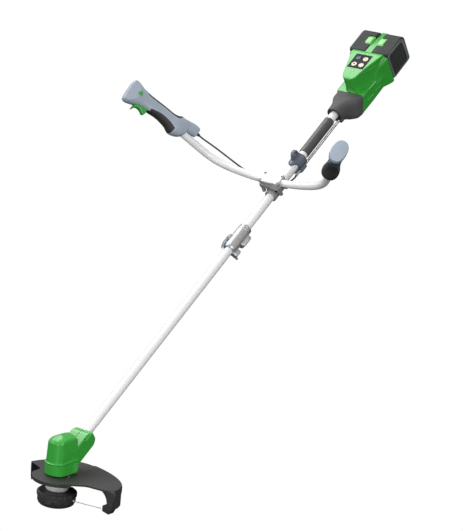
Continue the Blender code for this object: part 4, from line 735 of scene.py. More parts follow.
def recoated(node, material):
    """A CAD node whose own shape is right, given its finish."""
    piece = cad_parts[node]
    piece.data.materials.clear()
    piece.data.materials.append(material)


COPPER_WIRE = finish_of("copper_wire", (0.70, 0.32, 0.16), 0.35, metallic=1.0, cloud=200.0, grain=3000.0,
                        depth=0.0001, stretch=(1.0, 1.0, 0.1))
CIRCUIT_BOARD = finish_of("circuit_board", (0.02, 0.14, 0.06), 0.4, mottle=0.3, cloud=300.0, grain=900.0)
SWITCH_PLASTIC = finish_of("switch_plastic", (0.02, 0.02, 0.02), 0.4)
recoated("motor_stator", COPPER_WIRE)
recoated("motor_rotor", BRIGHT_STEEL)
recoated("line_spool", LINE_NYLON)
recoated("knob_spring", BRIGHT_STEEL)
recoated("controller_board", CIRCUIT_BOARD)
recoated("control_switch", SWITCH_PLASTIC)


# Shaft coupler ----------------------------------------------------------------------------------------------
# A die cast aluminium sleeve that joins the two tubes: raised bands at its top end, a clamp ear with its bolt,
# a lug for the wing screw, and a grey release lever hinged between two ears.

COUPLER_T = 0.895
COUPLER = axes(SHAFT, (0.0, 0.0, COUPLER_T), "Z", math.radians(135.0))
CLAMP_BOLT, WING_SCREW, LEVER_PIN = (0.0245, 0.0130), (0.0250, -0.0385), (-0.0238, -0.0120)

CAST_ALUMINIUM = finish_of("cast_aluminium", (0.47, 0.47, 0.475), 0.40, metallic=0.7, mottle=0.07, cloud=45.0,
                           grain=700.0, depth=0.00009)
ZINC_PLATE = finish_of("zinc_plate", (0.80, 0.80, 0.81), 0.28, metallic=0.75, mottle=0.05, cloud=90.0,
                       grain=1200.0, depth=0.00002)
LEVER_PLASTIC = finish_of("lever_plastic", (0.26, 0.33, 0.39), 0.38, mottle=0.06, cloud=30.0, grain=1300.0,
                          depth=0.00005)

coupler_profile = soften(
    [(0.0168, 0.0470), (0.0184, 0.0455), (0.0184, 0.0400), (0.0172, 0.0390), (0.0172, 0.0368),
     (0.0190, 0.0358), (0.0190, 0.0308), (0.0178, 0.0298), (0.0178, 0.0280), (0.0196, 0.0268),
     (0.0196, -0.0400), (0.0186, -0.0440), (0.0180, -0.0460), (0.0133, -0.0460), (0.0133, 0.0470)],
    0.0007,
)
coupler_body = turned("coupler_body", coupler_profile, COUPLER, None, CAST_ALUMINIUM, around=96)
ear_outline = soften([(0.0120, -0.0110), (0.0250, -0.0110), (0.0300, -0.0060), (0.0300, 0.0240),
                      (0.0270, 0.0290), (0.0120, 0.0290)], 0.004)
coupler_ear = slab("coupler_ear", ear_outline, -0.0110, 0.0110, 0.0022, COUPLER, None, CAST_ALUMINIUM,
                   plane="XZ")
lug_outline = soften([(0.0120, -0.0500), (0.0280, -0.0500), (0.0310, -0.0450), (0.0310, -0.0300),
                      (0.0270, -0.0270), (0.0120, -0.0270)], 0.003)
coupler_lug = slab("coupler_lug", lug_outline, -0.0080, 0.0080, 0.0018, COUPLER, None, CAST_ALUMINIUM,
                   plane="XZ")
hinge_outline = soften([(-0.0160, -0.0230), (-0.0250, -0.0200), (-0.0272, -0.0120), (-0.0250, -0.0060),
                        (-0.0160, -0.0040)], 0.004)
hinge_ears = [slab(f"hinge_ear_{i}", hinge_outline, low, low + 0.0030, 0.0008, COUPLER, None, CAST_ALUMINIUM,
                   plane="XZ") for i, low in enumerate((-0.0095, 0.0065))]
combined(coupler_body, [coupler_ear, coupler_lug, *hinge_ears])
slit = block("clamp_slit", (0.0180, -0.0009, -0.0600), (0.0400, 0.0009, 0.0600), COUPLER)
tube_way = cylinder("tube_way", 0.0133, -0.08, 0.08, COUPLER, 96)
combined(coupler_body, [slit, tube_way], "DIFFERENCE")
finish_piece(coupler_body, "frame", ("coupler_body",))


def cross_axes(frame_axes, place, sign=1.0):
    """Axes whose Z runs along a frame's Y, through a place (x, z) on its middle plane."""
    return axes(frame_axes, (place[0], 0.0, place[1]), "X", -sign * math.pi / 2)


screw_head("coupler_bolt", cross_axes(COUPLER, CLAMP_BOLT), 0.0046, -0.0118, 0.0150, "frame", ZINC_PLATE,
           ("coupler_bolt",))
lever_outline = soften([(-0.0213, -0.0080), (-0.0250, -0.0065), (-0.0278, -0.0120), (-0.0268, -0.0240),
                        (-0.0262, -0.0350), (-0.0240, -0.0450), (-0.0205, -0.0545), (-0.0180, -0.0555),
                        (-0.0182, -0.0500), (-0.0198, -0.0420), (-0.0206, -0.0300), (-0.0207, -0.0180)],
                       0.0024)
release_lever = slab("release_lever", lever_outline, -0.0060, 0.0060, 0.0010, COUPLER, None, LEVER_PLASTIC,
                     plane="XZ")
lever_ribs = []
for step in range(6):
    height = -0.0480 + 0.0044 * step
    depth = -0.0262 + 0.0040 * max(0.0, (-0.0350 - height) / 0.0190)
    rib = soften([(depth + 0.0015, height - 0.0009), (depth - 0.0010, height - 0.0009),
                  (depth - 0.0010, height + 0.0009), (depth + 0.0015, height + 0.0009)], 0.0004, 2)
    lever_ribs.append(slab(f"lever_rib_{step}", rib, -0.0052, 0.0052, 0.0003, COUPLER, None, LEVER_PLASTIC,
                           plane="XZ"))
finish_piece(combined(release_lever, lever_ribs), "release_lever", ("release_lever",))
pin_profile = soften([(0.0, -0.0098), (0.0018, -0.0098), (0.0018, 0.0098), (0.0, 0.0098)], 0.0003,
                     closed=False)
turned("lever_pin", pin_profile, cross_axes(COUPLER, LEVER_PIN), "release_lever", ZINC_PLATE, closed=False,
       around=32)

knob_axes = cross_axes(COUPLER, WING_SCREW)
stem_profile = soften([(0.0, -0.0078), (0.0030, -0.0078), (0.0030, 0.0085), (0.0058, 0.0085),
                       (0.0058, 0.0150), (0.0048, 0.0210), (0.0, 0.0232)], 0.0006, closed=False)
wing_screw = turned("coupler_knob", stem_profile, knob_axes, None, ZINC_PLATE, closed=False, around=48)
wing_outline = soften([(-0.0135, 0.0190), (-0.0130, 0.0245), (-0.0085, 0.0262), (-0.0040, 0.0215),
                       (0.0040, 0.0215), (0.0085, 0.0262), (0.0130, 0.0245), (0.0135, 0.0190),
                       (0.0050, 0.0125), (-0.0050, 0.0125)], 0.0028)
wings = slab("wings", wing_outline, -0.0022, 0.0022, 0.0010, knob_axes, None, ZINC_PLATE, plane="XZ")
finish_piece(combined(wing_screw, [wings]), "clamp_knob", ("coupler_knob",))


# Handlebar bracket ------------------------------------------------------------------------------------------
# A cast saddle that clamps on the shaft and carries the bar in a groove, with a bright cap over the
# bar held by
# four bolts through posts.

BAR_T, BAR_N, BAR_RADIUS = 1.104, 0.036, 0.011
BOLT_V, BOLT_T = 0.0300, 0.0145
CAP_TOP, SADDLE_LOW = 0.0500, 0.0225
BRACKET = axes(SHAFT, (0.0, 0.0, BAR_T), "X", 0.0)
BAR_LINE = axes(BRACKET, (BAR_N, 0.0, 0.0), "X", -math.pi / 2)

SADDLE_CAST = finish_of("saddle_cast", (0.40, 0.40, 0.405), 0.42, metallic=0.5, mottle=0.08, cloud=60.0,
                        grain=700.0, depth=0.00008)
CAP_CAST = finish_of("cap_cast", (0.52, 0.52, 0.53), 0.42, metallic=0.5, mottle=0.04, cloud=60.0, grain=900.0,
                     depth=0.00005)


def rounded_block(name, low, high, radius, edge, frame_axes, material):
    """A block whose outline in Y and Z is rounded by radius, and whose two X faces have a rounded rim."""
    return slab(name, rectangle(low[1:], high[1:], radius), low[0], high[0], edge, frame_axes, None, material,
                plane="YZ")


saddle = rounded_block("bracket_saddle", (SADDLE_LOW, -0.0370, -0.0220), (BAR_N - GAP, 0.0370, 0.0220),
                       0.0060, 0.0012, BRACKET, SADDLE_CAST)
web = rounded_block("saddle_web", (0.0050, -0.0165, -0.0200), (0.0260, 0.0165, 0.0210), 0.004, 0.0008,
                    BRACKET, SADDLE_CAST)
ring_profile = soften([(0.0183, 0.0320), (0.0183, -0.0300), (0.0, -0.0300), (0.0, 0.0320)], 0.0012,
                      closed=False)
saddle_ring = turned("saddle_ring", ring_profile, BRACKET, None, SADDLE_CAST, closed=False, around=72)
bolt_places = [(v, t) for v in (-BOLT_V, BOLT_V) for t in (-BOLT_T, BOLT_T)]


def upright_axes(v, t):
    """Axes whose Z runs square to the shaft, up through a bolt's place."""
    return axes(BRACKET, (0.0, v, t), "Y", math.pi / 2)


posts = []
for index, (v, t) in enumerate(bolt_places):
    post_profile = soften([(0.0, 0.0020), (0.0056, 0.0020), (0.0056, SADDLE_LOW + 0.002),
                           (0.0, SADDLE_LOW + 0.002)], 0.0008, closed=False)
    posts.append(turned(f"post_{index}", post_profile, upright_axes(v, t), None, SADDLE_CAST, closed=False,
                        around=36))
combined(saddle, [web, saddle_ring, *posts])
combined(saddle, [cylinder("saddle_groove", BAR_RADIUS + 0.0004, -0.06, 0.06, BAR_LINE, 72),
                  cylinder("saddle_bore", TUBE_RADIUS + GAP, -0.06, 0.06, BRACKET, 96)], "DIFFERENCE")
finish_piece(saddle, "frame", ("bracket_saddle",))

cap = rounded_block("bracket_cap", (BAR_N + GAP, -0.0360, -0.0210), (CAP_TOP, 0.0360, 0.0210), 0.0070, 0.0022,
                    BRACKET, CAP_CAST)
scoops = []
for index, sign in enumerate((-1, 1)):
    scoops.append(cylinder(f"cap_scoop_{index}", 0.0060, -0.014, 0.014,
                           axes(BRACKET, (CAP_TOP + 0.0030, 0.0, sign * 0.0235), "X", -math.pi / 2), 48))
combined(cap, [cylinder("cap_groove", BAR_RADIUS + 0.0004, -0.06, 0.06, BAR_LINE, 72), *scoops], "DIFFERENCE")
finish_piece(cap, "frame", ("bracket_cap",))
for index, (v, t) in enumerate(bolt_places):
    screw_head(f"bracket_bolt_{index + 1}", upright_axes(v, t), 0.0045, 0.0042, CAP_TOP + 0.0053, "frame",
               ZINC_PLATE, (f"bracket_bolt_{index + 1}",))


# Handlebar --------------------------------------------------------------------------------------------------
# One aluminium tube bent to a bull horn, enamelled white like the shaft, its ends inside the two grips.

BAR = axes(SHAFT, (BAR_N, 0.0, BAR_T), "Y", math.pi / 2 + math.radians(8.0))
GRIP_ANGLE = math.radians(57.0)
BAR_END_REACH, BAR_END_RISE, BAR_ENGAGEMENT = 0.240, 0.105, 0.060
BAR_HALF = ((0.000, 0.000), (0.028, 0.000), (0.052, 0.000), (0.082, 0.004), (0.115, 0.011), (0.150, 0.021),
            (0.180, 0.035), (0.204, 0.055), (0.223, 0.080))


def smooth_curve(points, spacing):
    """Points at an even spacing on the Catmull-Rom curve through a route's own points."""
    points = np.asarray(points, float)
    padded = np.vstack((2 * points[0] - points[1], points, 2 * points[-1] - points[-2]))
    a, b, c, d = (padded[i : len(padded) - 3 + i, None] for i in range(4))
    u = (np.arange(24) / 24)[None, :, None]
    fine = 0.5 * (2 * b + (c - a) * u + (2 * a - 5 * b + 4 * c - d) * u**2 + (3 * b - a - 3 * c + d) * u**3)
    fine = np.vstack((fine.reshape(-1, points.shape[1]), points[-1:]))
    length = np.concatenate(([0.0], np.cumsum(np.linalg.norm(np.diff(fine, axis=0), axis=1))))
    at = np.linspace(0.0, length[-1], max(3, int(round(length[-1] / spacing)) + 1))
    return np.stack([np.interp(at, length, fine[:, i]) for i in range(points.shape[1])], axis=1)


def swept_rings(route, radius, around, side=(1.0, 0.0, 0.0)):
    """Rings of a round section carried along a route, square to it. side is a direction never along
    the route."""
    along = np.gradient(route, axis=0)
    along /= np.linalg.norm(along, axis=1, keepdims=True)
    across = np.cross(along, side)
    across /= np.linalg.norm(across, axis=1, keepdims=True)
    upward = np.cross(across, along)
    angle = turn_of(around)[None, :, None]
    radius = np.asarray(radius, float).reshape(-1, 1, 1)
    return route[:, None] + radius * (np.cos(angle) * across[:, None] + np.sin(angle) * upward[:, None])


half_bar = [(0.0, reach, rise) for reach, rise in BAR_HALF]
bar_end = np.array((0.0, BAR_END_REACH, BAR_END_RISE))
half_bar += [bar_end, bar_end + BAR_ENGAGEMENT * np.array((0.0, math.cos(GRIP_ANGLE), math.sin(GRIP_ANGLE)))]
other_half = [(x, -y, z) for x, y, z in reversed(half_bar[1:])]
bar_route = smooth_curve(np.vstack((other_half, half_bar)), 0.004)
skin("handlebar", place_in(BAR, swept_rings(bar_route, BAR_RADIUS, 72)), "bar", WHITE_ENAMEL, ("handlebar",),
     "white_tube")


# Control handle ---------------------------------------------------------------------------------------------
# The user's right hand grip: two grey nylon half shells round the bar's end, with rubber moulded over
# the front
# and down the back, a green trigger in its pocket, a green lock button, and a tail that the cable leaves by.

CONTROL = axes(BAR, (0.0, -BAR_END_REACH, BAR_END_RISE), "X", math.pi / 2 - GRIP_ANGLE)
HANDLE_LENGTH = 0.248
CONTROL_SECTIONS = np.array((
    # along, back, front, half width
    (0.0380, -0.0330, 0.0060, 0.0150),
    (0.0420, -0.0345, 0.0120, 0.0172),
    (0.0520, -0.0375, 0.0205, 0.0195),
    (0.0640, -0.0388, 0.0262, 0.0214),
    (0.0720, -0.0372, 0.0280, 0.0217),
    (0.0820, -0.0312, 0.0262, 0.0212),
    (0.0980, -0.0272, 0.0195, 0.0195),
    (0.1300, -0.0268, 0.0165, 0.0180),
    (0.1600, -0.0252, 0.0205, 0.0180),
    (0.1900, -0.0242, 0.0240, 0.0186),
    (0.2120, -0.0268, 0.0335, 0.0200),
    (0.2320, -0.0318, 0.0418, 0.0215),
    (0.2410, -0.0322, 0.0418, 0.0215),
    (0.2460, -0.0300, 0.0390, 0.0190),
    (HANDLE_LENGTH, -0.0255, 0.0340, 0.0140),
))
SQUARENESS = 2.9
GRIP_START, GRIP_END = 0.0740, 0.1640
HEAD_FACET = 0.2180

HANDLE_NYLON = finish_of("handle_nylon", (0.330, 0.385, 0.455), 0.36, mottle=0.04, cloud=26.0, grain=1300.0,
                         depth=0.00005, coat=0.10)
GRIP_RUBBER = finish_of("grip_rubber", (0.024, 0.021, 0.021), 0.62, mottle=0.15, cloud=50.0, grain=2200.0,
                        depth=0.00010)


def section_at(table, along):
    """A table's columns at each distance along, on a smooth curve through its rows."""
    rows = smooth_curve(table, 0.0006)
    return [np.interp(along, rows[:, 0], rows[:, i]) for i in range(1, table.shape[1])]


def body_points(table, along, angle, swell=0.0, facet=None):
    """Points of a lofted grip: at each station a superellipse, with |x/a|^p + |y/b|^p = 1, p = SQUARENESS.
    along and angle broadcast; swell pushes the surface out; facet planes the side off towards the head."""
    back, front, half = section_at(table, along)
    centre, reach = (front + back) / 2, (front - back) / 2 + swell
    half = half + swell
    power = 2.0 / SQUARENESS
    x = centre + reach * np.sign(np.cos(angle)) * np.abs(np.cos(angle)) ** power
    y = half * np.sign(np.sin(angle)) * np.abs(np.sin(angle)) ** power
    if facet is not None:
        limit = half.max() - 0.0016 - 0.24 * np.maximum(along - facet, 0.0)
        y = np.where(along > facet - 0.004, np.minimum(y, limit + swell), y)
    return stack(x, y, along)


def lofted(name, table, frame_axes, body, material, spacing=0.001, around=144, facet=None, **more):
    span = table[-1, 0] - table[0, 0]
    along = np.arange(table[0, 0], table[-1, 0] + 1e-9, span / round(span / spacing))
    rings = body_points(table, along[:, None], turn_of(around)[None, :], 0.0, facet)
    return skin(name, place_in(frame_axes, rings), body, material, **more)


def over_moulding(name, table, frame_axes, along, first, last, body, material, swell=0.0006, depth=0.0022,
                  columns=48, facet=None, **more):
    """A rubber skin on a grip, from angle first to angle last at each station, its rims sunk into the grip."""
    share = np.linspace(0.0, 1.0, columns)[None, :]
    angle = first[:, None] + (last - first)[:, None] * share
    rim = np.minimum(np.minimum(share, 1 - share) * columns / 2.5, 1.0)
    ends = np.minimum(np.minimum(np.arange(len(along)), np.arange(len(along))[::-1]) / 2.5, 1.0)[:, None]
    lift = swell * np.sqrt(np.minimum(rim, ends)) - 0.0004 * (1 - np.minimum(rim, ends))
    outer = body_points(table, along[:, None], angle, 0.0, facet)
    inner = body_points(table, along[:, None], angle, -depth, facet)
    away = (outer - inner) / np.linalg.norm(outer - inner, axis=-1, keepdims=True)
    rings = np.concatenate((outer + away * lift[..., None], inner[:, ::-1]), axis=1)
    return skin(name, place_in(frame_axes, rings), body, material, **more)


control_shell = lofted("control_shell", CONTROL_SECTIONS, CONTROL, None, HANDLE_NYLON, facet=HEAD_FACET)
TAIL_SECTIONS = np.array(((0.0040, -0.0440, -0.0180, 0.0085), (0.0052, -0.0462, -0.0165, 0.0104),
                          (0.0120, -0.0480, -0.0150, 0.0122), (0.0260, -0.0472, -0.0120, 0.0145),
                          (0.0420, -0.0432, -0.0100, 0.0160), (0.0560, -0.0400, -0.0100, 0.0175)))
tail = lofted("control_tail", TAIL_SECTIONS, CONTROL, None, HANDLE_NYLON, around=96)
combined(control_shell, [tail])
pocket = block("trigger_pocket", (0.0040, -0.0086, 0.1630), (0.0700, 0.0086, 0.2115), CONTROL)
bar_way = cylinder("bar_way", BAR_RADIUS + 0.0005, -0.01, BAR_ENGAGEMENT + 0.004, CONTROL, 72)
screw_way = cylinder("screw_way", 0.0042, 0.0150, 0.0300, cross_axes(CONTROL, (-0.0120, 0.0560), -1.0), 36)
combined(control_shell, [pocket, bar_way, screw_way], "DIFFERENCE")
halved(control_shell, CONTROL, "bar", ("control_shell_outer", "control_shell_inner"))

grip_along = np.linspace(GRIP_START, GRIP_END, 110)
share = (grip_along - GRIP_START) / (GRIP_END - GRIP_START)
edge = np.radians(np.interp(share, (0.0, 0.05, 0.15, 0.45, 0.75, 0.93, 1.0), (66, 72, 76, 78, 74, 66, 60)))
over_moulding("control_grip_front", CONTROL_SECTIONS, CONTROL, grip_along, -edge, edge, "bar", GRIP_RUBBER,
              nodes=("control_grip_front",), slot="rubber", columns=90)
back_along = np.linspace(0.0680, 0.2080, 150)
back_edge = np.radians(np.interp(back_along, (0.0680, 0.0760, 0.1900, 0.2080), (30, 62, 60, 24)))
over_moulding("control_grip_back", CONTROL_SECTIONS, CONTROL, back_along, math.pi - back_edge,
              math.pi + back_edge, "bar", GRIP_RUBBER, nodes=("control_grip_back",), slot="rubber",
              columns=40)

trigger_outline = soften([(0.0080, 0.2070), (0.0200, 0.2095), (0.0480, 0.2110), (0.0490, 0.2085),
                          (0.0400, 0.2055), (0.0350, 0.2010), (0.0325, 0.1930), (0.0345, 0.1830),
                          (0.0400, 0.1740), (0.0370, 0.1690), (0.0280, 0.1680), (0.0160, 0.1700),
                          (0.0100, 0.1900)], 0.003, 4)
trigger = slab("trigger", trigger_outline, -0.0080, 0.0080, 0.0018, CONTROL, None, GREEN_NYLON, plane="XZ")
trigger_pin = turned("trigger_pin", soften([(0.0, -0.0110), (0.0015, -0.0110), (0.0015, 0.0110),
                                            (0.0, 0.0110)], 0.0002, closed=False),
                     cross_axes(CONTROL, (0.0110, 0.2030)), None, GREEN_NYLON, closed=False, around=24)
finish_piece(combined(trigger, [trigger_pin]), "trigger", ("trigger",))
LOCK_PLACE = (-0.0010, 0.2160)
lock_profile = soften([(0.0, 0.0132), (0.0062, 0.0132), (0.0062, 0.0205), (0.0054, 0.0222), (0.0, 0.0226)],
                      0.0009, closed=False)
turned("lock_button", lock_profile, cross_axes(CONTROL, LOCK_PLACE), "lock_button", GREEN_NYLON,
       ("lock_button",), closed=False, around=48)
collar_profile = soften([(0.0068, 0.0140), (0.0088, 0.0140), (0.0088, 0.0205), (0.0068, 0.0205)], 0.0006)
turned("lock_button_collar", collar_profile, cross_axes(CONTROL, LOCK_PLACE), "bar", HANDLE_NYLON, (),
       around=60)
screw_head("handle_screw", cross_axes(CONTROL, (-0.0120, 0.0560)), 0.0036, 0.0130, 0.0192, "bar", ZINC_PLATE,
           ("handle_screw",))


# Plain grip -------------------------------------------------------------------------------------------------
# The user's left hand grip: a grey nylon moulding with a wide flat end cap, and a rubber pad under the palm.

PLAIN = axes(BAR, (0.0, BAR_END_REACH, BAR_END_RISE), "X", GRIP_ANGLE - math.pi / 2)
PLAIN_LENGTH = 0.150
PLAIN_SECTIONS = np.array((
    (0.0000, -0.0130, 0.0130, 0.0130),
    (0.0020, -0.0180, 0.0180, 0.0178),
    (0.0080, -0.0240, 0.0240, 0.0230),
    (0.0220, -0.0272, 0.0262, 0.0242),
    (0.0380, -0.0245, 0.0225, 0.0216),
    (0.0600, -0.0222, 0.0185, 0.0184),
    (0.0900, -0.0230, 0.0200, 0.0182),
    (0.1150, -0.0280, 0.0300, 0.0200),
    (0.1360, -0.0346, 0.0356, 0.0223),
))
CAP_SECTIONS = np.array((
    (0.1363, -0.0344, 0.0354, 0.0221),
    (0.1375, -0.0352, 0.0362, 0.0227),
    (0.1450, -0.0350, 0.0360, 0.0226),
    (0.1485, -0.0338, 0.0348, 0.0216),
    (0.1497, -0.0320, 0.0330, 0.0202),
    (PLAIN_LENGTH, -0.0300, 0.0310, 0.0185),
))
DARK_NYLON = finish_of("dark_nylon", (0.045, 0.085, 0.100), 0.40, mottle=0.08, cloud=26.0, grain=1300.0,
                       depth=0.00005)

SQUARENESS = 2.25
lofted("plain_grip", PLAIN_SECTIONS, PLAIN, "bar", DARK_NYLON, nodes=("plain_grip",), slot="handle_plastic")
lofted("plain_grip_cap", CAP_SECTIONS, PLAIN, "bar", HANDLE_NYLON, spacing=0.0005, nodes=("plain_grip_cap",),
       slot="handle_plastic")
pad_along = np.linspace(0.0050, 0.0850, 96)
pad_edge = np.radians(np.interp(pad_along, (0.0050, 0.0120, 0.0300, 0.0600, 0.0780, 0.0850),
                                (88, 104, 100, 70, 50, 34)))
over_moulding("plain_grip_pad", PLAIN_SECTIONS, PLAIN, pad_along, -pad_edge, pad_edge, "bar", GRIP_RUBBER,
              nodes=("plain_grip_pad",), slot="rubber", columns=80)


# Harness clamp ----------------------------------------------------------------------------------------------
# A grey nylon split clamp that slides on the shaft for balance: an eye for the harness hook on top, pointed
# skirts along the shaft above and below, and a foot that guides the cable's conduit.

HARNESS_T = 1.224
HARNESS = axes(SHAFT, (0.0, 0.0, HARNESS_T), "X", 0.0)
CLAMP_RADIUS, CLAMP_BORE = 0.0205, 0.0133
EYE_CENTRE, EYE_RADIUS = 0.0325, 0.0065
CONDUIT_BEARING, CONDUIT_OFFSET = math.radians(145.0), 0.0222

CLAMP_NYLON = finish_of("clamp_nylon", (0.105, 0.125, 0.158), 0.42, mottle=0.07, cloud=40.0, grain=1300.0,
                        depth=0.00006)


def clamp_shell(name):
    """The clamp's ring, whose lower rim reaches further down the shaft above and below than at the sides."""
    angle = turn_of(144)[None, :]
    point = np.abs(np.cos(angle)) ** 5
    low = -0.0165 - 0.0150 * point
    high = 0.0185 + 0.0020 * np.sin(angle) ** 2
    flare = 0.0012 * np.cos(angle) ** 2
    outer, inner = CLAMP_RADIUS + flare, CLAMP_BORE
    chain = ((inner, low), (outer - 0.0040 * point - 0.0010, low), (outer - 0.0025 * point, low + 0.0010),
             (outer, low + 0.0090), (outer, high - 0.0060), (outer + 0.0008, high - 0.0045),
             (outer + 0.0008, high - 0.0010), (outer - 0.0004, high), (inner, high))
    radius = np.stack([r * np.ones(144) if np.isscalar(r) else (r * np.ones((1, 144)))[0] for r, _ in chain])
    height = np.stack([(h * np.ones((1, 144)))[0] for _, h in chain])
    rings = place_in(HARNESS, stack(radius * np.cos(angle), radius * np.sin(angle), height))
    return add_piece(name, rings, grid_faces(len(chain), 144, wrap_rows=True), None, CLAMP_NYLON, crease=32.0)


clamp = clamp_shell("harness_clamp")
lug_outline = [(0.0150, -0.0170), (0.0235, -0.0160)]
lug_outline += [(EYE_CENTRE - 0.001 + 0.0128 * math.cos(a), 0.0128 * math.sin(a))
                for a in np.radians(np.linspace(-85, 85, 24))]
lug_outline += [(0.0235, 0.0160), (0.0150, 0.0170)]
harness_lug = slab("harness_lug", lug_outline, -0.0055, 0.0055, 0.0018, HARNESS, None, CLAMP_NYLON,
                   plane="XZ")
foot_axes = axes(HARNESS, (0.0, 0.0, 0.0), "Z", CONDUIT_BEARING)
harness_foot = slab("harness_foot", rectangle((0.0150, -0.0080), (0.0300, 0.0080), 0.004), -0.0150, 0.0120,
                    0.0020, foot_axes, None, CLAMP_NYLON)
combined(clamp, [harness_lug, harness_foot])
eye_way = cylinder("eye_way", EYE_RADIUS, -0.02, 0.02, axes(HARNESS, (EYE_CENTRE, 0.0, 0.0), "X",
                                                            math.pi / 2), 64)
shaft_way = cylinder("shaft_way", CLAMP_BORE, -0.06, 0.06, HARNESS, 96)
conduit_way = cylinder("conduit_way", 0.0045, -0.05, 0.05, axes(HARNESS,
                                                                (CONDUIT_OFFSET * math.cos(CONDUIT_BEARING),
                                                                 CONDUIT_OFFSET * math.sin(CONDUIT_BEARING),
                                                                 0.0), "X", 0.0), 40)
screw_sink = cylinder("screw_sink", 0.0030, -0.03, -0.0115, axes(HARNESS, (0.0, -0.0168, 0.0), "Y",
                                                                 math.pi / 2), 36)
combined(clamp, [eye_way, shaft_way, conduit_way, screw_sink], "DIFFERENCE")
for part, low, high in (("harness_clamp_upper", -0.0037, 1.0), ("harness_clamp_lower", -1.0, -0.0040)):
    half = bpy.data.objects.new(part, clamp.data.copy())
    bpy.context.scene.collection.objects.link(half)
    region = block(f"{part}_region", (low, -3.0, -3.0), (high, 3.0, 3.0), HARNESS)
    finish_piece(combined(half, [region], "INTERSECT"), "harness", (part,))
bpy.data.objects.remove(clamp)
screw_head("harness_screw", axes(HARNESS, (0.0, -0.0168, 0.0), "Y", -math.pi / 2), 0.0026, -0.0060, 0.0135,
           "harness", ZINC_PLATE, ("harness_screw",))


# Shaft sleeve, conduit and cable ----------------------------------------------------------------------------
# A dark foam sleeve on the shaft for carrying, a steel conduit wound like a spring beside it, and the switch
# cable that runs from the control handle along the bar and under the shaft into the conduit.

SLEEVE_START, SLEEVE_END = 1.260, 1.408
CONDUIT_RADIUS, CONDUIT_PITCH, CONDUIT_BELOW_CLAMP, CONDUIT_TOP = 0.0040, 0.0030, 0.036, 1.4615
CABLE_RADIUS = 0.0025

SLEEVE_FOAM = finish_of("sleeve_foam", (0.062, 0.062, 0.063), 0.44, mottle=0.10, cloud=60.0, grain=1600.0,
                        depth=0.00014)
CABLE_PVC = finish_of("cable_pvc", (0.035, 0.035, 0.036), 0.5, mottle=0.1, cloud=60.0, grain=1500.0,
                      depth=0.00004)
SPRING_STEEL = finish_of("spring_steel", (0.70, 0.70, 0.70), 0.30, metallic=0.9, mottle=0.08, cloud=200.0,
                         grain=900.0)

sleeve_profile = soften([(0.0134, SLEEVE_END), (0.0146, SLEEVE_END), (0.0155, SLEEVE_END - 0.0015),
                         (0.0155, SLEEVE_START + 0.0015), (0.0146, SLEEVE_START), (0.0134, SLEEVE_START)],
                        0.0008)
turned("shaft_sleeve", sleeve_profile, SHAFT, "frame", SLEEVE_FOAM, ("shaft_sleeve",), around=96)

conduit_low = HARNESS_T - CONDUIT_BELOW_CLAMP
conduit_at = np.linspace(conduit_low, CONDUIT_TOP, int((CONDUIT_TOP - conduit_low) / 0.00042))
conduit_turn = turn_of(26)
winding = np.cos(2 * math.pi * conduit_at[:, None] / CONDUIT_PITCH - conduit_turn[None, :])
conduit_reach = CONDUIT_RADIUS - 0.0006 + 0.0006 * np.sign(winding) * np.abs(winding) ** 0.6
conduit_axis = CONDUIT_OFFSET * np.array((math.cos(CONDUIT_BEARING), math.sin(CONDUIT_BEARING)))
conduit_rings = stack(conduit_axis[0] + conduit_reach * np.cos(conduit_turn),
                      conduit_axis[1] + conduit_reach * np.sin(conduit_turn), conduit_at[:, None])
skin("cable_conduit", place_in(SHAFT, conduit_rings), "frame", SPRING_STEEL, ("cable_conduit",), "steel",
     crease=75.0)

CABLE_FROM_HANDLE = (
    (-0.0300, -0.2396, 0.1044), (-0.0300, -0.2290, 0.0890), (-0.0300, -0.2140, 0.0740),
    (-0.0290, -0.1940, 0.0560),
    (-0.0250, -0.1600, 0.0280), (-0.0220, -0.1300, 0.0020), (-0.0200, -0.1000, -0.0220),
    (-0.0210, -0.0700, -0.0340),
)
CABLE_UNDER_SHAFT = ((-0.0080, -0.0440, 1.1300), (-0.0190, -0.0240, 1.1420), (-0.0230, -0.0020, 1.1540))
cable_route = np.vstack((
    place_in(BAR, np.array(CABLE_FROM_HANDLE)),
    place_in(SHAFT, np.array(CABLE_UNDER_SHAFT)),
    place_in(SHAFT, np.array(((*conduit_axis, conduit_low - 0.012), (*conduit_axis, conduit_low - GAP)))),
))
cable = skin("control_cable", swept_rings(smooth_curve(cable_route, 0.003), CABLE_RADIUS, 24,
                                          (0.3, 0.2, 1.0)), None, CABLE_PVC)
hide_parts("control_cable")
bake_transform(cable)
gland_profile = soften([(0.0026, -0.0060), (0.0040, -0.0050), (0.0052, 0.0040), (0.0052, 0.0100),
                        (0.0026, 0.0100)], 0.0008)
turned("cable_gland", gland_profile, axes(CONTROL, (-0.0300, 0.0, 0.0), "X", 0.0), "bar", CABLE_PVC, (),
       around=40)


# Nose cone --------------------------------------------------------------------------------------------------
# A dark grey moulding in front of the power head. It grips the shaft's top end, swells to the
# housing's rim with a
# deep belly, and takes the conduit in at a port beside the shaft.

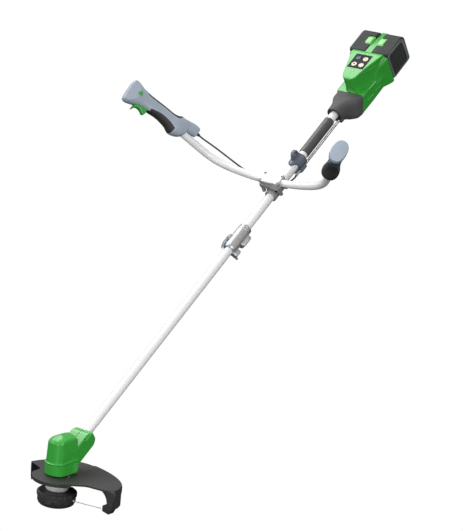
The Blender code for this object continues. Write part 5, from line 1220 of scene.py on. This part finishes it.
POWER_T = 1.434
RIM_T, RIM_LEAN = 1.5275, -0.55
NOSE_SECTIONS = np.array((
    # along, half width, top, bottom, lean, squareness
    (POWER_T + 0.0000, 0.0222, 0.0222, -0.0236, 0.00, 2.0),
    (POWER_T + 0.0015, 0.0238, 0.0236, -0.0252, 0.00, 2.0),
    (POWER_T + 0.0060, 0.0246, 0.0238, -0.0275, -0.01, 2.1),
    (POWER_T + 0.0200, 0.0262, 0.0228, -0.0350, -0.10, 2.3),
    (POWER_T + 0.0360, 0.0296, 0.0205, -0.0400, -0.22, 2.8),
    (POWER_T + 0.0500, 0.0372, 0.0172, -0.0458, -0.33, 3.4),
    (POWER_T + 0.0640, 0.0436, 0.0132, -0.0492, -0.42, 4.2),
    (POWER_T + 0.0780, 0.0462, 0.0088, -0.0525, -0.50, 5.0),
    (RIM_T - 0.0012, 0.0472, 0.0050, -0.0520, RIM_LEAN, 5.8),
    (RIM_T - GAP, 0.0466, 0.0044, -0.0514, RIM_LEAN, 5.8),
))
PORT_RADIUS, PORT_LOW, PORT_HIGH = 0.0083, 0.0012, 0.050

NOSE_PLASTIC = finish_of("nose_plastic", (0.074, 0.074, 0.075), 0.58, specular=0.3, mottle=0.05, cloud=30.0,
                         grain=1500.0, depth=0.00006)

nose_along = np.concatenate([np.linspace(a, b, 9, endpoint=False)
                             for a, b in zip(NOSE_SECTIONS[:-1, 0],
                                             NOSE_SECTIONS[1:, 0])] + [NOSE_SECTIONS[-1:, 0]])
half, top, bottom, lean, power = (column[:, None] for column in section_at(NOSE_SECTIONS, nose_along))
angle = turn_of(168)[None, :]
across = half * np.sign(np.sin(angle)) * np.abs(np.sin(angle)) ** (2 / power)
up = (top + bottom) / 2 + (top - bottom) / 2 * np.sign(np.cos(angle)) * np.abs(np.cos(angle)) ** (2 / power)
nose_cone = skin("nose_cone", place_in(SHAFT, stack(up, across, nose_along[:, None] - lean * up)), None,
                 NOSE_PLASTIC)
port_axes = axes(SHAFT, (0.0252 * math.cos(CONDUIT_BEARING), 0.0252 * math.sin(CONDUIT_BEARING), POWER_T),
                 "X", 0.0)
port = turned("nose_port", soften([(0.0, PORT_LOW), (PORT_RADIUS, PORT_LOW), (PORT_RADIUS + 0.001, PORT_HIGH),
                                   (0.0, PORT_HIGH)], 0.0015, closed=False), port_axes, None, NOSE_PLASTIC,
              closed=False, around=48)
combined(nose_cone, [port])
mouth = cylinder("nose_mouth", 0.0187, POWER_T - 0.02, POWER_T + 0.006, SHAFT, 96)
tube_way = cylinder("nose_tube_way", 0.0133, POWER_T - 0.02, TUBE_TOP + 0.001, SHAFT, 96)
port_way = cylinder("nose_port_way", 0.0045, POWER_T - 0.02, CONDUIT_TOP + 0.0008,
                    axes(SHAFT, (*conduit_axis, 0.0), "X", 0.0), 40)
finish_piece(combined(nose_cone, [mouth, tube_way, port_way], "DIFFERENCE"), "frame", ("nose_cone",))
# A lip round the mouth. Its near-black rubber is partly painted shade: it stands in for the shade that falls
# on the cone's front face.
lip_profile = soften([(0.0189, POWER_T + 0.0058), (0.0189, POWER_T - 0.0008), (0.0222, POWER_T - 0.0012),
                      (0.0234, POWER_T + 0.0006), (0.0240, POWER_T + 0.0058)], 0.0006)
turned("nose_lip", lip_profile, SHAFT, "frame", GRIP_RUBBER, (), around=96)


# Power housing ----------------------------------------------------------------------------------------------
# Two green nylon mouldings joined down the middle: a round barrel, a raised console that carries the panel, a
# shoulder and a foot where the packs sit against the rear, and a spine between the packs.

HOUSING_REAR_T = 1.6585
SPINE_HALF, SPINE_END_T = 0.0115, 1.760
BARREL_SECTIONS = np.array((
    # along, half width, top, bottom
    (RIM_T - 0.05, 0.0470, 0.0048, -0.0522),
    (RIM_T, 0.0470, 0.0048, -0.0522),
    (1.5600, 0.0474, 0.0040, -0.0525),
    (1.6100, 0.0478, 0.0020, -0.0520),
    (HOUSING_REAR_T, 0.0480, 0.0020, -0.0500),
))
CONSOLE_SECTIONS = np.array((
    # along, half width on top, half width at the barrel, top
    (1.5290, 0.0040, 0.0180, 0.0070),
    (1.5320, 0.0050, 0.0195, 0.0105),
    (1.5350, 0.0060, 0.0202, 0.0180),
    (1.5356, 0.0070, 0.0204, 0.0500),
    (1.5368, 0.0110, 0.0208, 0.0526),
    (1.5400, 0.0165, 0.0200, 0.0544),
    (1.5450, 0.0212, 0.0236, 0.0556),
    (1.5530, 0.0252, 0.0275, 0.0566),
    (1.5680, 0.0294, 0.0335, 0.0574),
    (1.5900, 0.0350, 0.0415, 0.0575),
    (1.6100, 0.0408, 0.0470, 0.0574),
    (1.6350, 0.0486, 0.0520, 0.0572),
    (1.6520, 0.0536, 0.0560, 0.0568),
    (HOUSING_REAR_T, 0.0545, 0.0580, 0.0555),
))
FOOT_SECTIONS = np.array((
    # along, half width, top, bottom
    (1.6050, 0.0440, 0.0150, -0.0440),
    (1.6250, 0.0490, 0.0290, -0.0476),
    (1.6420, 0.0600, 0.0400, -0.0484),
    (1.6520, 0.0655, 0.0460, -0.0484),
    (HOUSING_REAR_T, 0.0672, 0.0480, -0.0480),
))


def side_bead(u, v, t, start, end, width, height):
    """A raised line on the flank, seen from the side: high along the line from start to end, in (t, n)."""
    return bump_at(segment_distance(np.stack((t, u), axis=-1), start, end), width,
                   height) * (np.abs(v) > 0.03)


SIDE_BEADS = (
    ((1.5990, -0.0010), (1.5340, 0.0030), 0.0020, 0.0018),
    ((1.6250, 0.0400), (1.5740, 0.0470), 0.0012, 0.0014),
    ((1.5600, 0.0450), (1.5250, 0.0500), 0.0011, 0.0014),
    ((1.6150, -0.0270), (1.5860, -0.0270), 0.0011, 0.0015),
    ((1.5720, -0.0270), (1.5400, -0.0240), 0.0011, 0.0015),
)


def rounded_rectangle(u, v, low, high, half, corner):
    """Negative inside a rectangle with round corners, about zero on its edge, and the distance outside it."""
    middle, reach = (high + low) / 2, (high - low) / 2
    past_u = np.abs(u - middle) - reach + corner
    past_v = np.abs(v) - half + corner
    outside = np.hypot(np.maximum(past_u, 0), np.maximum(past_v, 0))
    return outside + np.minimum(np.maximum(past_u, past_v), 0) - corner


def with_beads(field, u, v, t):
    """The field less the beads, which push the surface out."""
    for start, end, width, height in SIDE_BEADS:
        field = field - side_bead(u, v, t, start, end, width, height)
    return field


def barrel_field(points):
    """The barrel in the shaft's frame, negative inside: a rectangle with round corners at every
    distance along."""
    u, v, t = points[..., 0], points[..., 1], points[..., 2]
    half, top, bottom = (np.interp(t, BARREL_SECTIONS[:, 0], BARREL_SECTIONS[:, i]) for i in (1, 2, 3))
    corner = np.where(u > -0.02, 0.0045, 0.0110)
    return with_beads(rounded_rectangle(u, v, bottom, top, half, corner), u, v, t)


def console_field(points):
    """The console and the foot, negative inside: the console's flanks flare out by 0.3 of the share of
    the depth
    below its top and 0.7 of that share's cube, and the foot is a rounded rectangle that widens to the rear."""
    u, v, t = points[..., 0], points[..., 1], points[..., 2]
    half_top, half_low, top = (np.interp(t, CONSOLE_SECTIONS[:, 0], CONSOLE_SECTIONS[:, i])
                               for i in (1, 2, 3))
    share = np.clip((top - u) / (top - 0.002), 0.0, 1.3)
    flank = half_top + (half_low - half_top) * (0.30 * share + 0.70 * share**3.0)
    console = soft_max(soft_max(np.abs(v) - flank, u - top, 0.0030), -0.012 - u, 0.001)
    half, top, bottom = (np.interp(t, FOOT_SECTIONS[:, 0], FOOT_SECTIONS[:, i]) for i in (1, 2, 3))
    foot = rounded_rectangle(u, v, bottom, top, half, 0.009) + np.maximum(1.605 - t, 0.0) * 2.0
    return with_beads(soft_min(console, foot, 0.0060), u, v, t)


AXIS_N = -0.0040


def housing_rings(field, along, lean, around=300):
    """Rings of the housing found by rays from its axis, in planes that lean by the share given for
    each ring."""
    lean = lean[:, None]
    angle = turn_of(around)[None, :]
    directions = stack(np.cos(angle), np.sin(angle), -lean * np.cos(angle))
    origins = stack(AXIS_N * np.ones((len(along), 1)), 0.0, along[:, None] - lean * AXIS_N)
    return ray_surface(origins, directions, field, RAY_REACH)


barrel_along = np.linspace(RIM_T + GAP, HOUSING_REAR_T, 120)
barrel_lean = RIM_LEAN * np.clip((1.60 - barrel_along) / (1.60 - RIM_T), 0.0, 1.0)
console_along = np.concatenate((np.linspace(1.5300, 1.5460, 80, endpoint=False),
                                np.linspace(1.5460, HOUSING_REAR_T, 130)))
console = skin("console", place_in(SHAFT, housing_rings(console_field, console_along, 0.0 * console_along)),
               None, GREEN_NYLON, crease=50.0)
power_shell = skin("power_shell", place_in(SHAFT, housing_rings(barrel_field, barrel_along, barrel_lean)),
                   None, GREEN_NYLON, crease=50.0)
spine_outline = [(-0.0440, HOUSING_REAR_T - 0.004), (0.0545, HOUSING_REAR_T - 0.004), (0.0540, 1.6800),
                 (0.0530, 1.7000), (0.0500, 1.7250), (0.0470, 1.7400), (0.0440, SPINE_END_T),
                 (-0.0440, SPINE_END_T)]
spine = slab("housing_spine", spine_outline, -SPINE_HALF + 0.0003, SPINE_HALF - 0.0003, 0.0015, SHAFT, None,
             GREEN_NYLON, plane="XZ")
combined(power_shell, [console, spine])
PANEL_T, PANEL_HALF, PANEL_REACH, PANEL_BOTTOM, PANEL_TOP = 1.6125, 0.0280, 0.0305, 0.0528, 0.0564
seat = block("panel_seat", (PANEL_BOTTOM - GAP, -PANEL_HALF - 0.0004, PANEL_T - PANEL_REACH - 0.0004),
             (0.08, PANEL_HALF + 0.0004, PANEL_T + PANEL_REACH + 0.0004), SHAFT)
combined(power_shell, [seat], "DIFFERENCE")
halved(power_shell, SHAFT, "frame", ("power_housing_right", "power_housing_left"))


# Paler green for the flank ribs: a painted highlight, the beads' sheen put into their colour.
RIB_PAINTED_HIGHLIGHT = finish_of("rib_painted_highlight", (0.30, 0.72, 0.26), 0.28, mottle=0.04, cloud=30.0, grain=1300.0, depth=0.0,
                      coat=0.3)


def rib(name, points, radius, frame_axes, body, side):
    """A thin raised rib laid on a surface: a round section carried along a smooth path, half sunk in it, in a
    paler green that is a painted highlight.
    """
    path = place_in(frame_axes, smooth_curve(np.array(points, float), 0.0006))
    skin(name, swept_rings(path, radius, 12, side), body, RIB_PAINTED_HIGHLIGHT, (), "green_housing")


# Ribs along both flanks, their pale green a painted highlight.
for name, sign in (("left", 1.0), ("right", -1.0)):
    for index, (run, radius) in enumerate((
        (((0.0008, 0.0466, 1.5340), (0.0012, 0.0474, 1.5600), (-0.0004, 0.0478, 1.5990)), 0.0013),
        (((-0.0250, 0.0473, 1.5400), (-0.0262, 0.0476, 1.5560), (-0.0270, 0.0478, 1.5720)), 0.0009),
        (((-0.0270, 0.0478, 1.5860), (-0.0270, 0.0479, 1.6000), (-0.0270, 0.0480, 1.6150)), 0.0009),
    )):
        rib(f"housing_highlight_rib_{name}_{index}", [(n, sign * v, t) for n, v, t in run], radius, SHAFT, "frame",
            (1.0, 0.0, 0.3))


# Control panel ----------------------------------------------------------------------------------------------
# A dark fascia set in the console, with four round membrane keys, each printed with a plain ring and a dot.

KEY_RADIUS, KEY_TOP, KEY_BOTTOM = 0.0085, 0.0580, 0.0510
KEY_V, KEY_T = 0.0125, 0.0135

FASCIA = finish_of("fascia", (0.020, 0.020, 0.024), 0.55, mottle=0.10, cloud=60.0, grain=1500.0,
                   depth=0.000005, specular=0.12)


def facing_up(v, t):
    """A frame on the console's top: Z out of it, X towards +v and Y up the shaft."""
    turn = np.eye(4)
    turn[:3, :3] = np.array(((0.0, 0.0, 1.0), (1.0, 0.0, 0.0), (0.0, 1.0, 0.0)))
    turn[:3, 3] = (0.0, v, t)
    return SHAFT @ turn


slab("control_panel", rectangle((-PANEL_HALF, -PANEL_REACH), (PANEL_HALF, PANEL_REACH), 0.0028), PANEL_BOTTOM,
     PANEL_TOP, 0.0008, facing_up(0.0, PANEL_T), "frame", FASCIA, ("control_panel",), "dark_grey_plastic")


def key_finish(name, ground, ring, mark, place, mark_size):
    """A key's print, by distance from the key's centre in the object's own coordinates: a ring near
    the rim, and
    a dot in the middle that reaches out to mark_size of the key's radius. place is the key's frame."""
    material, nodes, links = new_material(name)
    shader = nodes["Principled BSDF"]
    shader.inputs["Roughness"].default_value = 0.38
    coordinates = nodes.new("ShaderNodeTexCoord")
    moved = nodes.new("ShaderNodeVectorMath")
    moved.operation = "SUBTRACT"
    moved.inputs[1].default_value = place[:3, 3].tolist()
    links.new(coordinates.outputs["Object"], moved.inputs[0])
    parts = []
    for axis in (place[:3, 0], place[:3, 1]):
        dot = nodes.new("ShaderNodeVectorMath")
        dot.operation = "DOT_PRODUCT"
        dot.inputs[1].default_value = axis.tolist()
        links.new(moved.outputs["Vector"], dot.inputs[0])
        parts.append(dot.outputs["Value"])
    flat = nodes.new("ShaderNodeCombineXYZ")
    links.new(parts[0], flat.inputs["X"])
    links.new(parts[1], flat.inputs["Y"])
    reach = nodes.new("ShaderNodeVectorMath")
    reach.operation = "LENGTH"
    links.new(flat.outputs["Vector"], reach.inputs[0])
    rings = nodes.new("ShaderNodeValToRGB")
    rings.color_ramp.interpolation = "CONSTANT"
    stops = ((0.0, mark), (mark_size, ground), (0.60, ring), (0.86, ground))
    rings.color_ramp.elements[0].position = 0.0
    rings.color_ramp.elements[0].color = (*stops[0][1], 1.0)
    rings.color_ramp.elements[1].position = stops[1][0]
    rings.color_ramp.elements[1].color = (*stops[1][1], 1.0)
    for position, colour in stops[2:]:
        element = rings.color_ramp.elements.new(position)
        element.color = (*colour, 1.0)
    scaled = nodes.new("ShaderNodeMath")
    scaled.operation = "DIVIDE"
    scaled.inputs[1].default_value = KEY_RADIUS
    links.new(reach.outputs["Value"], scaled.inputs[0])
    links.new(scaled.outputs["Value"], rings.inputs["Fac"])
    links.new(rings.outputs["Color"], shader.inputs["Base Color"])
    return material


CREAM, INK, BLUE, ORANGE = (0.80, 0.68, 0.52), (0.02, 0.02, 0.02), (0.016, 0.040, 0.130), (0.72, 0.30, 0.14)
KEY_LOOKS = (
    (1, -KEY_V, -KEY_T, CREAM, CREAM, INK, 0.46), (2, KEY_V, -KEY_T, CREAM, (0.70, 0.62, 0.50),
                                                   (0.45, 0.40, 0.34), 0.30),
    (3, -KEY_V, KEY_T, (0.016, 0.020, 0.045), BLUE, BLUE, 0.26),
    (4, KEY_V, KEY_T, CREAM, (0.78, 0.56, 0.42), ORANGE, 0.42),
)
key_profile = soften([(0.0, KEY_BOTTOM), (KEY_RADIUS, KEY_BOTTOM), (KEY_RADIUS, KEY_TOP - 0.0012),
                      (KEY_RADIUS - 0.0010, KEY_TOP), (0.0, KEY_TOP + 0.0004)], 0.0008, closed=False)
for index, v, t, ground, ring, mark, size in KEY_LOOKS:
    centre = facing_up(v, PANEL_T + t)
    turned(f"panel_key_{index}", key_profile, centre, f"key_{index}",
           key_finish(f"key_{index}_print", ground, ring, mark, centre, size), (f"panel_key_{index}",),
           closed=False, around=64)


# Battery packs ----------------------------------------------------------------------------------------------
# Two packs side by side on the housing's rear, each a dark ribbed case with a slotted outer side that
# slides off backwards once its green latch is pressed.

PACK_START, PACK_END, PACK_LOW, PACK_HIGH = 1.6600, 1.7570, -0.0360, 0.0560
PACK_INNER, PACK_OUTER = 0.0118, 0.0678
LATCH_START, LATCH_END, LATCH_SEAT, LATCH_TOP = 1.6925, 1.7275, 0.0465, 0.0592

PACK_CASE = finish_of("pack_case", (0.036, 0.039, 0.038), 0.62, specular=0.25, mottle=0.08, cloud=40.0,
                      grain=1300.0, depth=0.00007)
PACK_FRAME = finish_of("pack_frame", (0.150, 0.153, 0.153), 0.48, mottle=0.06, cloud=40.0, grain=1300.0,
                       depth=0.00007)
LATCH_NYLON = finish_of("latch_nylon", (0.20, 0.56, 0.16), 0.36, mottle=0.05, cloud=30.0, grain=1400.0,
                        depth=0.00004, coat=0.1)


def beside(side):
    """A frame on a pack's outer side: X along the shaft, Y out of the shaft's top, Z out of the side."""
    turn = np.eye(4)
    turn[:3, :3] = np.array(((0.0, 1.0, 0.0), (0.0, 0.0, side), (1.0, 0.0, 0.0)))
    return SHAFT @ turn


def pack_of(side, name, latch_name):
    """One pack: a case with rounded edges and a sloped rear top edge, with its latch in a recess on
    top, a pale
    frame round a sunk panel on the outer side, and a slanted lattice in that panel."""
    body = name.replace("battery", "pack")

    def across(a, b):
        return (side * a, side * b) if side > 0 else (side * b, side * a)

    case_outline = [(PACK_LOW, PACK_START), (PACK_HIGH - 0.0040, PACK_START),
                    (PACK_HIGH, PACK_START + 0.0040), (PACK_HIGH, PACK_END - 0.0160),
                    (PACK_HIGH - 0.0060, PACK_END - 0.0040), (PACK_HIGH - 0.0140, PACK_END),
                    (PACK_LOW + 0.0040, PACK_END), (PACK_LOW, PACK_END - 0.0060)]
    low, high = across(PACK_INNER, PACK_OUTER)
    case = slab(name + "_case", soften(case_outline, 0.0048, 5), low, high, 0.0022, SHAFT, None, PACK_CASE,
                plane="XZ", steps=4)
    low, high = across(PACK_INNER - 0.002, 0.0325)
    recess = block(name + "_latch_space", (0.0395, low, 1.6910), (0.0700, high, 1.7290), SHAFT)
    place = beside(side)
    cuts = [recess]
    panel = soften([(1.6660, -0.0260), (1.6640, 0.0400), (1.6720, 0.0470), (1.7320, 0.0450), (1.7400, 0.0390),
                    (1.7440, -0.0240), (1.7380, -0.0300), (1.6720, -0.0310)], 0.0040, 4)
    cuts.append(slab(name + "_sink", panel, PACK_OUTER - 0.0022, PACK_OUTER + 0.01, 0.0, place, None,
                     PACK_CASE))
    for t, n in ((1.6690, 0.0510), (1.7400, 0.0480), (1.7490, -0.0310), (1.6660, -0.0320)):
        cuts.append(cylinder(f"{name}_corner_{t}", 0.0026, PACK_OUTER - 0.0040, PACK_OUTER + 0.01,
                             axes(place, (t, n, 0.0), "X", 0.0), 32))
    for row in range(4):
        low, high = across(0.0360 + 0.0075 * row - 0.0003, 0.0360 + 0.0075 * row + 0.0003)
        cuts.append(block(f"{name}_ridge_{row}", (PACK_HIGH - 0.0005, low, PACK_START + 0.010),
                          (PACK_HIGH + 0.01, high, PACK_END - 0.022), SHAFT))
    combined(case, cuts, "DIFFERENCE")
    finish_piece(case, body, (name,))
    frame_outline = soften([(1.6610, -0.0340), (1.6595 + 0.0012, 0.0500), (1.6680, 0.0545), (1.7380, 0.0525),
                            (1.7490, 0.0450), (1.7545, -0.0280), (1.7460, -0.0350), (1.6680, -0.0355)],
                           0.0050, 5)
    rim = slab(name + "_frame", frame_outline, PACK_OUTER - 0.0030, PACK_OUTER + 0.0010, 0.0010, place, None,
               PACK_FRAME)
    opening = slab(name + "_frame_opening", panel, PACK_OUTER - 0.01, PACK_OUTER + 0.01, 0.0, place, None,
                   PACK_FRAME)
    holes = [cylinder(f"{name}_hole_{t}", 0.0022, PACK_OUTER - 0.01, PACK_OUTER + 0.01,
                      axes(place, (t, n, 0.0), "X", 0.0), 32)
             for t, n in ((1.6690, 0.0500), (1.7395, 0.0470), (1.7490, -0.0305), (1.6660, -0.0320))]
    finish_piece(combined(rim, [opening] + holes, "DIFFERENCE"), body, ())
    lattice = slab(name + "_lattice", panel, PACK_OUTER - 0.0035, PACK_OUTER - 0.0004, 0.0004, place, None,
                   PACK_CASE)
    slots = []
    for column in range(5):
        for row in range(4):
            t = 1.6735 + 0.0145 * column
            n = -0.0235 + 0.0160 * row
            slant = 0.0050
            outline = [(t, n), (t + 0.0085, n + slant), (t + 0.0085, n + slant + 0.0100), (t, n + 0.0100)]
            slots.append(slab(f"{name}_slot_{column}_{row}", soften(outline, 0.0012, 3), PACK_OUTER - 0.02,
                              PACK_OUTER + 0.01, 0.0, place, None, PACK_CASE))
    finish_piece(combined(lattice, slots, "DIFFERENCE"), body, ())
    low, high = across(0.0121, 0.0318)
    latch_outline = soften([(LATCH_SEAT, LATCH_START), (LATCH_TOP - 0.0030, LATCH_START),
                            (LATCH_TOP, LATCH_START + 0.0060), (LATCH_TOP, LATCH_END - 0.0100),
                            (LATCH_TOP - 0.0050, LATCH_END), (LATCH_SEAT, LATCH_END)], 0.0022, 4)
    slab(latch_name, latch_outline, low, high, 0.0022, SHAFT, latch_name, LATCH_NYLON, (latch_name,),
         "green_housing", plane="XZ")


pack_of(1.0, "battery_left", "pack_release_left")
pack_of(-1.0, "battery_right", "pack_release_right")
